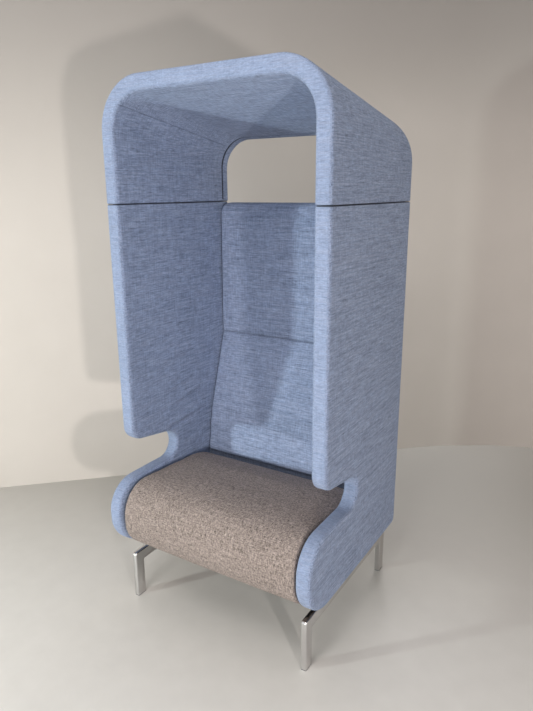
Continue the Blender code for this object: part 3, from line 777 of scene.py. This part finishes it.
hoodShape = {
    "top": 1.789,
    "drop": 0.097,
    "corner": 0.160,
    "rim": 0.011,
    "rimSteps": 5,
    "rimRun": 0.8,
    "innerRearRim": 0.004,
    "innerRearSteps": 3,
    "sag": 0.004,  # the ceiling's lining hangs this much lower at the rear
    "sagStart": 0.15,  # above the split
    "sagEnd": 0.06,  # below the top
    "voxel": 0.005,
    "trimmed": 0.04,  # made this much too low, and cut at the split
    "splitGap": 0.0006,
    "splitRound": 0.005,
    "fill": 0.9,
    # the lining: how deep it lies, of the panel's thickness, and how far its edges reach
    "liningDepth": 0.7,
    "liningNormal": 0.7,
    "liningStart": 0.006,
    "seam": 0.315,  # the lining ends here, and a soft roll follows to the rear edge
    "seamLead": 0.008,
    "seamDepth": 0.008,
    # painted shade in the seam: full strength over this share of the lead, fading out at the lead's end
    "paintedShadeShare": 0.4,
    "leadRows": (1.0, 0.6, 0.3, 0.0),
    "rollWidth": 0.030,
    "rollRows": (0.03, 0.09, 0.18, 0.27, 0.5, 0.8),
    # the corner seams' groove, and the strength of the painted shade in it
    "cornerSeam": {"width": 0.0022, "depth": 0.0016, "dark": 0.35},
    "cornerStart": 0.03,
    "cornerEnd": 0.006,  # ahead of the rear seam
    "ripple": 0.0006,
    "rippleScale": 6.0,
    "rippleRise": (0.01, 0.06),  # above the split
    "rippleNormal": 0.4,
}
hoodShape["slope"] = hoodShape["drop"] / pod["depth"]


def hoodCorners(low):
    top = hoodShape["top"]
    inner = hoodShape["corner"] - pod["panel"]
    return [
        (pod["half"], low, 0),
        (pod["half"], top, hoodShape["corner"]),
        (-pod["half"], top, hoodShape["corner"]),
        (-pod["half"], low, 0),
        (-pod["inner"], low, 0),
        (-pod["inner"], top - pod["panel"], inner),
        (pod["inner"], top - pod["panel"], inner),
        (pod["inner"], low, 0),
    ]


def hoodDepth(point):
    # how deep a point lies under the hood's outer face, before the roof slopes
    right = abs(point.x) - (pod["half"] - hoodShape["corner"])
    above = point.z - (hoodShape["top"] - hoodShape["corner"])
    if right > 0 and above > 0:
        return hoodShape["corner"] - math.hypot(right, above)
    return hoodShape["corner"] - max(right, above)


def rollSeam(bm, inside):
    # the lining dips to its rear seam, and the outer cloth comes round as a soft roll, with painted shade
    # in the seam
    seam, lead, roll = hoodShape["seam"], hoodShape["seamLead"], hoodShape["rollWidth"]
    paintedShade = paintedShadeLayer(bm)
    rows = [seam - lead * row for row in hoodShape["leadRows"]]
    rows += [seam + roll * row for row in hoodShape["rollRows"]]
    for place in rows:
        cutAcross(bm, (0, place, 0), (0, 1, 0), inside)
    moves = []
    for vert in bm.verts:
        if not inside(vert.co, vert.normal):
            continue
        before, after = (seam - vert.co.y) / lead, (vert.co.y - seam) / roll
        if 0 <= before < 1:
            dip = (1 - before) ** 2
        elif 0 < after < 1:
            dip = 1 - math.sqrt(1 - (1 - after) ** 2)
        else:
            continue
        moves.append((vert, vert.normal * -hoodShape["seamDepth"] * dip))
        vert[paintedShade] = 1 - share(abs(vert.co.y - seam), lead * hoodShape["paintedShadeShare"], lead)
    shiftEach(moves)
    bm.normal_update()


def makeHood():
    shape = hoodShape
    corners = hoodCorners(pod["split"] - shape["trimmed"])
    bm = flatOutline(corners, lambda across, up: (across, pod["wingFront"], up))
    pullOut(bm, (0, pod["depth"], 0))

    def isInner(point):
        return hoodDepth(point) > pod["panel"] / 2

    def rearEdges(inner):
        edges = rimEdges(bm, 1, (pod["rear"],))
        return [edge for edge in edges if isInner((edge.verts[0].co + edge.verts[1].co) / 2) == inner]

    front = rimEdges(bm, 1, (pod["wingFront"],))
    roundEdges(bm, front + rearEdges(False), shape["rim"], shape["rimSteps"])
    roundEdges(bm, rearEdges(True), shape["innerRearRim"], shape["innerRearSteps"])
    for vert in bm.verts:
        back = vert.co.y - pod["wingFront"]
        if isInner(vert.co):
            high = share(vert.co.z, pod["split"] + shape["sagStart"], shape["top"] - shape["sagEnd"])
            vert.co.z -= shape["sag"] * back / pod["depth"] * high
        if vert.co.z > pod["split"]:
            vert.co.z -= shape["slope"] * back
    piece = evenMesh(toObject(bm, "hoodPad"), shape["voxel"])
    bm = openMesh(piece)
    trimFlat(bm, pod["split"] + shape["splitGap"], False, shape["splitRound"])

    def level(point):
        # the same point before the roof slopes
        return Vector((point.x, point.y, point.z + shape["slope"] * (point.y - pod["wingFront"])))

    def inside(point, normal):
        deep = hoodDepth(level(point)) > pod["panel"] * shape["liningDepth"]
        low = point.z <= pod["split"] + shape["liningStart"]
        return deep and not low and abs(normal.y) < shape["liningNormal"]

    moves = []
    for vert in bm.verts:
        rise = share(vert.co.z - pod["split"], *shape["rippleRise"])
        soft = noise.noise(vert.co * shape["rippleScale"]) * shape["ripple"] * rise
        if abs(vert.normal.y) < shape["rippleNormal"]:
            moves.append((vert, vert.normal * soft))
    shiftEach(moves)
    rollSeam(bm, inside)
    for side in (-1, 1):
        # the lining's corner seams, half way round each inner corner, with painted shade in them
        beside = side * (pod["half"] - shape["corner"])
        centre = Vector((beside, pod["wingFront"], shape["top"] - shape["corner"]))
        across = Vector((side, 0, 1)).cross(Vector((0, 1, -shape["slope"])))

        def inCorner(point, normal, side=side, centre=centre):
            away = level(point) - centre
            turning = min(away.x * side, away.z) > shape["cornerStart"]
            return turning and point.y < shape["seam"] - shape["cornerEnd"] and inside(point, normal)

        sewLine(bm, centre, across, shape["cornerSeam"], inCorner)

    def turned(point, normal):
        if abs(normal.y) > sideways:
            return shape["rimRun"]
        return 1.0 if inside(point, normal) and -normal.z > abs(normal.x) else 0.0

    replaced = ("hood_cover", "hood_foam")
    dressPad(closeMesh(bm, piece), blueCloth, replaced, turned)


makeHood()


clothShape = {"quality": 4, "mass": 0.3, "shearShare": 0.3}


def puffUp(piece, settings, held):
    # swells a pad in the cloth solver, with held points kept and movement capped
    group = piece.vertex_groups.new(name="held")
    for vert in piece.data.vertices:
        if held(vert.co):
            group.add([vert.index], 1.0, "REPLACE")
    start = [vert.co.copy() for vert in piece.data.vertices]
    cloth = piece.modifiers.new("puff", "CLOTH")
    cloth.settings.quality = clothShape["quality"]
    cloth.settings.mass = clothShape["mass"]
    cloth.settings.tension_stiffness = settings["tension"]
    cloth.settings.compression_stiffness = settings["tension"]
    cloth.settings.shear_stiffness = settings["tension"] * clothShape["shearShare"]
    cloth.settings.bending_stiffness = settings["bending"]
    cloth.settings.use_pressure = True
    cloth.settings.uniform_pressure_force = settings["pressure"]
    cloth.settings.effector_weights.gravity = 0
    cloth.settings.vertex_group_mass = "held"
    cloth.collision_settings.use_collision = False
    cloth.point_cache.frame_start = 1
    cloth.point_cache.frame_end = settings["frames"]
    scene = bpy.context.scene
    for step in range(1, settings["frames"] + 1):
        scene.frame_set(step)
    settle(piece)
    farthest = 0.0
    for vert, before in zip(piece.data.vertices, start):
        move = vert.co - before
        farthest = max(farthest, move.length)
        if move.length > settings["cap"]:
            vert.co = before + move.normalized() * settings["cap"]
    piece.vertex_groups.clear()
    scene.frame_set(1)
    print(piece.name, "swelled, farthest", round(farthest * 1000, 1), "mm")


def subdivide(piece):
    finer = piece.modifiers.new("finer", "SUBSURF")
    finer.levels = 1
    finer.render_levels = 1
    settle(piece)


backShape = {
    "top": 1.412,
    "topDepth": 0.067,
    "fold": 0.899,
    "foldDepth": 0.070,
    "foldRound": 0.060,
    "slope": math.radians(17.2),
    "lumbar": 0.576,
    "lumbarRound": 0.300,
    "sideGap": 0.0015,
    "edge": 0.007,
    "edgeSteps": 3,
    "sharp": 0.6,  # edges that turn further than this are rounded
    "corner": 0.036,
    "cornerSteps": 6,
    "frontNormal": -0.3,
    "frontLow": 0.3,
    "crown": 0.004,
    "crownRise": (0.46, 0.80),
    "crownRear": (0.285, 0.32),
    "voxel": 0.0105,
    "shrink": 0.0015,
    # the crease's groove, and the strength of the painted shade in it
    "crease": {"width": 0.006, "depth": 0.0060, "dark": 0.28},
    "lip": 0.4190,  # the pad's lower edge, above the seat
    "lipRound": 0.0055,
    "lipRows": 6,
    "lipSpacing": 1.6,
    # the recess below it, with painted shade in it
    "lipDepth": 0.014,
    "paintedRecessShade": 0.5,
    "lipStep": 0.002,
    "lipFade": (0.05, 0.10),
    "ripple": 0.0006,
    "rippleScale": (4.0, 7.0),
    "fill": 0.85,
    # what the cloth solver holds, and how it swells the rest
    "heldRear": 0.335,
    "heldEdge": 0.012,
    "heldLip": 0.02,
    "pressure": 3.0,
    "tension": 25.0,
    "bending": 0.6,
    "frames": 20,
    "cap": 0.004,
}
lumbarRun = (backShape["fold"] - backShape["lumbar"]) * math.tan(backShape["slope"])
lowRun = (backShape["lumbar"] - pod["underside"]) * math.tan(pod["lumbarSlope"])
backShape["lumbarFront"] = pod["rear"] - backShape["foldDepth"] - lumbarRun
backShape["lowFront"] = backShape["lumbarFront"] - lowRun


def makeBack():
    shape = backShape
    half = pod["softHalf"] - shape["sideGap"]
    corners = [
        (pod["rear"], pod["underside"], 0),
        (pod["rear"], shape["top"], 0),
        (pod["rear"] - shape["topDepth"], shape["top"], 0),
        (pod["rear"] - shape["foldDepth"], shape["fold"], shape["foldRound"]),
        (shape["lumbarFront"], shape["lumbar"], shape["lumbarRound"]),
        (shape["lowFront"], pod["underside"], 0),
    ]
    bm = flatOutline(corners, lambda across, up: (-half, across, up))
    pullOut(bm, (2 * half, 0, 0))

    def isTopCorner(edge):
        high = all(abs(vert.co.z - shape["top"]) < onPlane for vert in edge.verts)
        return high and all(abs(abs(vert.co.x) - half) < onPlane for vert in edge.verts)

    roundEdges(bm, [edge for edge in bm.edges if isTopCorner(edge)], shape["corner"], shape["cornerSteps"])
    sharp = [edge for edge in bm.edges if edge.calc_face_angle(0) > shape["sharp"]]
    roundEdges(bm, sharp, shape["edge"], shape["edgeSteps"])
    piece = evenMesh(toObject(bm, "backPad"), shape["voxel"], smoothing=1)

    def crown(point):
        across = 1 - (point.x / half) ** 2
        forwards = 1 - share(point.y, *shape["crownRear"])
        return shape["crown"] * across * forwards * share(point.z, *shape["crownRise"])

    bm = openMesh(piece)
    for vert in bm.verts:
        vert.co -= vert.normal * shape["shrink"]
        if vert.normal.y < shape["frontNormal"]:
            vert.co.y -= crown(vert.co)
    closeMesh(bm, piece)

    def held(point):
        edge = abs(point.x) > half - shape["heldEdge"] or point.z > shape["top"] - shape["heldEdge"]
        low = point.z < shape["lip"] + shape["heldLip"]
        crease = abs(point.z - shape["fold"]) < shape["crease"]["width"]
        return edge or low or crease or point.y > shape["heldRear"]

    puffUp(piece, shape, held)
    subdivide(piece)
    bm = openMesh(piece)

    def isFront(point, normal):
        return normal.y < shape["frontNormal"] and point.z > shape["frontLow"]

    sewLine(bm, (0, 0, shape["fold"]), (0, 0, 1), shape["crease"], isFront)
    # the lower edge turns in over a round, into a recess above the seat, where shade is painted
    lip, curl, rows = shape["lip"], shape["lipRound"], shape["lipRows"]
    fadeStart, fadeEnd = (lip - depth for depth in shape["lipFade"])
    levels = [lip + curl * (row / rows) ** shape["lipSpacing"] for row in range(rows + 1)]
    paintedShade = paintedShadeLayer(bm)
    cutLevels(bm, levels + [lip - shape["lipStep"], fadeStart], isFront)
    wide, high = shape["rippleScale"]
    for vert in bm.verts:
        if not isFront(vert.co, vert.normal):
            continue
        place = Vector((vert.co.x * wide, 0, vert.co.z * high))
        vert.co.y += noise.noise(place) * shape["ripple"]
        if vert.co.z > lip - slack:
            above = min(vert.co.z - lip, curl)
            vert.co.y += curl - math.sqrt(max(curl**2 - (curl - above) ** 2, 0))
        else:
            vert.co.y += shape["lipDepth"] * (1 - share(vert.co.z, fadeStart, fadeEnd))
            # painted shade in the recess
            vert[paintedShade] = shape["paintedRecessShade"]
    dressPad(
        closeMesh(bm, piece),
        blueCloth,
        ("back_cover", "back_foam"),
        lambda point, normal: 0.0 if abs(normal.x) > sideways else 1.0,
    )


makeBack()


seatShape = {
    "front": -0.341,
    "top": 0.469,
    "slope": math.radians(3.8),
    "noseTop": 0.112,
    "noseLow": 0.110,
    "rearCorner": 0.022,
    "rearGap": 0.002,
    "sideGap": 0.0050,
    "edge": 0.007,
    "edgeSteps": 4,
    "crown": 0.010,
    "crownHeight": 0.22,  # full this high above the underside
    "crownEnd": (0.0, 0.14),
    "noseCrown": 0.006,
    "noseStart": -0.231,
    "noseRun": 0.11,
    "droop": 0.031,  # how far the top falls away towards the back
    "droopStart": 0.045,
    "droopPower": 1.9,
    "voxel": 0.0075,
    "shrink": 0.002,
    "fill": 0.85,
    # what the cloth solver holds, and how it swells the rest
    "heldSide": 0.010,
    "heldLow": 0.02,
    "heldRear": 0.09,
    "pressure": 4.0,
    "tension": 25.0,
    "bending": 0.6,
    "frames": 20,
    "cap": 0.006,
}


def makeSeat():
    shape = seatShape
    half = pod["softHalf"] - shape["sideGap"]
    lowRear = backShape["lowFront"] - shape["rearGap"]
    tanBack, tanSeat = math.tan(pod["lumbarSlope"]), math.tan(shape["slope"])
    level = shape["top"] - (lowRear - shape["front"]) * tanSeat
    rearTop = (level - pod["underside"]) / (1 + tanSeat * tanBack)
    rearEdge = lowRear + rearTop * tanBack
    corners = [
        (lowRear, pod["underside"], 0),
        (rearEdge, pod["underside"] + rearTop, shape["rearCorner"]),
        (shape["front"], shape["top"], shape["noseTop"]),
        (shape["front"], pod["underside"], shape["noseLow"]),
    ]
    bm = flatOutline(corners, lambda across, up: (-half, across, up))
    pullOut(bm, (2 * half, 0, 0))
    roundEdges(bm, rimEdges(bm, 0, (-half, half)), shape["edge"], shape["edgeSteps"])
    piece = evenMesh(toObject(bm, "seatPad"), shape["voxel"], smoothing=1)
    bm = openMesh(piece)
    for vert in bm.verts:
        across = 1 - (vert.co.x / half) ** 2
        height = min(max((vert.co.z - pod["underside"]) / shape["crownHeight"], 0), 1)
        fall = max((vert.co.y - shape["droopStart"]) / (rearEdge - shape["droopStart"]), 0)
        vert.co -= vert.normal * shape["shrink"]
        vert.co.z += shape["crown"] * across * height * (1 - share(vert.co.y, *shape["crownEnd"]))
        vert.co.z -= shape["droop"] * height * fall ** shape["droopPower"]
        nose = min(max((shape["noseStart"] - vert.co.y) / shape["noseRun"], 0), 1)
        vert.co.y -= shape["noseCrown"] * across * nose
    closeMesh(bm, piece)

    def held(point):
        low = point.z < pod["underside"] + shape["heldLow"]
        return low or abs(point.x) > half - shape["heldSide"] or point.y > shape["heldRear"]

    puffUp(piece, shape, held)
    subdivide(piece)
    dressPad(
        piece,
        brownCloth,
        ("seat_cover", "seat_foam"),
        lambda point, normal: 0.0 if abs(normal.x) > sideways else 1.0,
    )


makeSeat()


legShape = {
    "top": 0.177,
    "depth": 0.040,
    "width": 0.020,
    "outer": 0.362,
    "front": -0.294,
    "low": 0.0023,
    "bend": 0.009,
    "innerBend": 0.003,
    "edge": 0.0036,
    "edgeSteps": 4,
    "sharp": math.radians(40),
}
chrome = chromeFinish("polishedChrome", chromeLook)


def makeLegFrame(name, side):
    shape = legShape
    under = shape["top"] - shape["depth"]
    corners = [
        (pod["rear"], shape["low"], 0),
        (pod["rear"], shape["top"], shape["bend"]),
        (shape["front"], shape["top"], shape["bend"]),
        (shape["front"], shape["low"], 0),
        (shape["front"] + shape["depth"], shape["low"], 0),
        (shape["front"] + shape["depth"], under, shape["innerBend"]),
        (pod["rear"] - shape["depth"], under, shape["innerBend"]),
        (pod["rear"] - shape["depth"], shape["low"], 0),
    ]
    inner = side * (shape["outer"] - shape["width"])
    bm = flatOutline(corners, lambda across, up: (inner, across, up))
    pullOut(bm, (side * shape["width"], 0, 0))

    def isFoot(edge):
        return all(abs(vert.co.z - shape["low"]) < onPlane for vert in edge.verts)

    rims = [edge for edge in rimEdges(bm, 0, (inner, side * shape["outer"])) if not isFoot(edge)]
    roundEdges(bm, rims, shape["edge"], shape["edgeSteps"])
    piece = toObject(bm, name + "LegFrame")
    dress(piece, chrome, [name + "_leg_frame"])
    piece.data.set_sharp_from_angle(angle=shape["sharp"])


makeLegFrame("left", -1)
makeLegFrame("right", 1)


liningShape = {
    "half": 0.3355,
    "front": -0.231,
    "rear": 0.3375,
    "top": 0.2137,
    "thick": 0.001,
    "columns": 60,
    "rows": 50,
    "sag": 0.003,
    "sagStart": 0.15,
    "sagSquare": 4,  # the higher, the flatter across
}


def makeLining():
    shape = liningShape
    bm = bmesh.new()
    bmesh.ops.create_grid(bm, x_segments=shape["columns"], y_segments=shape["rows"], size=1.0)
    cut = (2 * shape["half"], shape["rear"] - shape["front"])
    bmesh.ops.scale(bm, vec=(cut[0] / 2, cut[1] / 2, 1), verts=bm.verts)
    middle = (shape["front"] + shape["rear"]) / 2
    bmesh.ops.translate(bm, vec=(0, middle, shape["top"]), verts=bm.verts)

    def bearerPlace(name):
        low, high = map(Vector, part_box(name))
        return (low.y + high.y) / 2

    # hem, two bearers, hem
    stops = (shape["front"], bearerPlace("front_bearer"), bearerPlace("rear_bearer"), shape["rear"])
    for vert in bm.verts:
        across = 1 - (vert.co.x / shape["half"]) ** shape["sagSquare"]
        for low, high in zip(stops, stops[1:]):
            if low <= vert.co.y <= high:
                wave = math.sin((vert.co.y - low) / (high - low) * math.pi)
                vert.co.z -= shape["sag"] * across * share(wave, shape["sagStart"], 1.0)
    piece = toObject(bm, "undersideCloth")
    wall = piece.modifiers.new("wall", "SOLIDIFY")
    wall.thickness = shape["thick"]
    wall.offset = -1
    settle(piece)
    dress(piece, plainFinishes["blackLining"], ["underside_lining"])


makeLining()


stageLook = {
    "floor": screen(219, 215, 211),
    "floorDark": screen(209, 205, 201),
    "paintedFloorShade": screen(152, 148, 141),  # painted shade: the floor darkens towards the rear, where less light reaches it
    "paintedFloorShadeRange": (-0.9, 1.3),
    "floorSlant": 0.25,
    "floorScale": 14.0,
    "floorRoughness": 0.5,
    "floorHalf": 9.0,
    "wall": screen(203, 195, 188),
    "wallDark": screen(197, 189, 182),
    "paintedWallShade": screen(146, 140, 136),  # painted shade: the wall darkens upwards, where less light reaches it
    "paintedWallShadeRange": (1.2, 2.6),
    "wallScale": 5.0,
    "wallRoughness": 0.9,
    "wallHeight": 5.0,
    # the wall's run on the floor, slantwise behind the pod
    "wallRun": [
        (-4.6, -3.0),
        (-1.55, -0.03),
        (-0.2, 1.28),
        (0.2, 1.63),
        (0.45, 1.79),
        (0.8, 1.93),
        (1.4, 2.08),
        (5.0, 2.7),
    ],
}


def floorFinish(look):
    pale = Finish("paleFloor", Roughness=look["floorRoughness"])
    point = pale.place()
    mottle = pale.speckle(point, look["floorScale"], detail=4.0)
    near = pale.blend(mottle, look["floorDark"], look["floor"])
    across, along = pale.axes(point)[:2]
    # painted shade: darker towards the rear and a little to the left
    paintedShadeRamp = (along - across * look["floorSlant"]).between(*look["paintedFloorShadeRange"])
    pale.feed("Base Color", pale.blend(paintedShadeRamp, near, look["paintedFloorShade"]))
    return pale.material


def wallFinish(look):
    pale = Finish("paleWall", Roughness=look["wallRoughness"])
    point = pale.place()
    mottle = pale.speckle(point, look["wallScale"], detail=4.0)
    paper = pale.blend(mottle, look["wallDark"], look["wall"])
    # painted shade, darker higher up the wall
    high = pale.axes(point)[2].between(*look["paintedWallShadeRange"])
    pale.feed("Base Color", pale.blend(high, paper, look["paintedWallShade"]))
    # clear from behind, so that it hides nothing in other views, and it casts no shadow
    behind = pale.node("ShaderNodeNewGeometry", output="Backfacing")
    pale.clearWhere(behind.most(pale.node("ShaderNodeLightPath", output="Is Shadow Ray")))
    return pale.material


def makeStage():
    look = stageLook
    bm = bmesh.new()
    bmesh.ops.create_grid(bm, x_segments=2, y_segments=2, size=look["floorHalf"])
    floor = toObject(bm, "floor")
    floor.data.materials.append(floorFinish(look))
    bm = bmesh.new()
    feet = [bm.verts.new((across, along, 0.0)) for across, along in look["wallRun"]]
    run = [bm.edges.new(pair) for pair in zip(feet, feet[1:])]
    up = bmesh.ops.extrude_edge_only(bm, edges=run)
    raised = [item for item in up["geom"] if isinstance(item, bmesh.types.BMVert)]
    bmesh.ops.translate(bm, verts=raised, vec=(0, 0, look["wallHeight"]))
    bm.normal_update()
    away = [face for face in bm.faces if face.normal.dot(face.calc_center_median()) > 0]
    bmesh.ops.reverse_faces(bm, faces=away)
    wall = toObject(bm, "backWall")
    wall.data.materials.append(wallFinish(look))
    wall.data.shade_smooth()


def areaLight(name, look):
    lamp = bpy.data.lights.new(name, "AREA")
    lamp.shape = "RECTANGLE"
    lamp.size, lamp.size_y = look["size"]
    lamp.energy = look["power"]
    lamp.color = look["colour"]
    obj = bpy.data.objects.new(name, lamp)
    obj.location = look["place"]
    towards = Vector(look["aim"]) - Vector(look["place"])
    obj.rotation_euler = towards.to_track_quat("-Z", "Y").to_euler()
    bpy.context.scene.collection.objects.link(obj)


lampLooks = {
    "left": {
        "place": (-2.0, -2.77, 0.85),
        "aim": (0, 0, 0.9),
        "size": (0.14, 0.14),
        "power": 62.5,
        "colour": (0.90, 1.0, 0.97),
    },
    "right": {
        "place": (2.59, -2.27, 0.85),
        "aim": (0, 0, 0.9),
        "size": (0.14, 0.14),
        "power": 48.0,
        "colour": (1.0, 0.96, 0.92),
    },
    "low": {
        "place": (0.3, -2.8, 0.8),
        "aim": (0, 0, 0.8),
        "size": (1.4, 0.9),
        "power": 15.5,
        "colour": (1.0, 1.0, 1.0),
    },
    "middle": {
        "place": (0.25, -3.0, 2.3),
        "aim": (0, 0, 0.8),
        "size": (1.4, 1.0),
        "power": 28.5,
        "colour": (1.0, 0.97, 0.93),
    },
    "high": {
        "place": (0.2, -2.1, 3.8),
        "aim": (0, 0, 0.9),
        "size": (1.6, 1.2),
        "power": 30.0,
        "colour": (1.0, 0.98, 0.96),
    },
    "side": {
        "place": (3.4, 0.4, 1.4),
        "aim": (0, 0, 0.9),
        "size": (2.0, 2.0),
        "power": 10.0,
        "colour": (1.0, 0.92, 0.85),
    },
    "rear": {
        "place": (-0.6, 4.0, 1.7),
        "aim": (0, 0, 1.0),
        "size": (2.0, 1.6),
        "power": 45.0,
        "colour": (1.0, 0.98, 0.96),
    },
    "above": {
        "place": (0.4, -0.8, 4.2),
        "aim": (0, 0, 0.5),
        "size": (3.0, 3.0),
        "power": 30.0,
        "colour": (1.0, 1.0, 1.0),
    },
}
worldLook = {"colour": (1.0, 1.0, 1.0, 1.0), "strength": 0.01, "seen": 0.85}


def makeLights():
    for name, look in lampLooks.items():
        areaLight(name + "Lamp", look)
    world = bpy.context.scene.world or bpy.data.worlds.new("studio")
    bpy.context.scene.world = world
    world.use_nodes = True
    room = NodeTree(world.node_tree)
    # the eye, metal and glass see a pale room, and the pod gets the plain strength
    path = room.node("ShaderNodeLightPath", output="Is Camera Ray")
    seen = path.most(path.other("Is Glossy Ray")).most(path.other("Is Transmission Ray"))
    strength = worldLook["strength"] + seen * (worldLook["seen"] - worldLook["strength"])
    backdrop = world.node_tree.nodes["Background"]
    room.plug(worldLook["colour"], backdrop.inputs["Color"])
    room.plug(strength, backdrop.inputs["Strength"])


cameraLook = {
    "place": (1.0942, -1.6787, 1.4515),
    "yaw": 0.5599,
    "pitch": -0.2662,
    "roll": -0.0082,
    "lens": 30.59,
    "sensor": 36.0,
}


def makeCamera():
    look = cameraLook
    yaw, pitch, roll = look["yaw"], look["pitch"], look["roll"]
    ahead = Vector((-math.sin(yaw) * math.cos(pitch), math.cos(yaw) * math.cos(pitch), math.sin(pitch)))
    level = Vector((math.cos(yaw), math.sin(yaw), 0))
    upright = level.cross(ahead)
    right = level * math.cos(roll) + upright * math.sin(roll)
    above = upright * math.cos(roll) - level * math.sin(roll)
    lens = bpy.data.cameras.new("photoView")
    lens.lens = look["lens"]
    lens.sensor_width = look["sensor"]
    camera = bpy.data.objects.new("photoView", lens)
    turn = Matrix((right, above, -ahead)).transposed().to_4x4()
    camera.matrix_world = Matrix.Translation(look["place"]) @ turn
    bpy.context.scene.collection.objects.link(camera)
    bpy.context.scene.camera = camera


makeStage()
makeLights()
makeCamera()
bpy.context.scene.view_settings.view_transform = "Standard"
print("stage, lights and camera made")
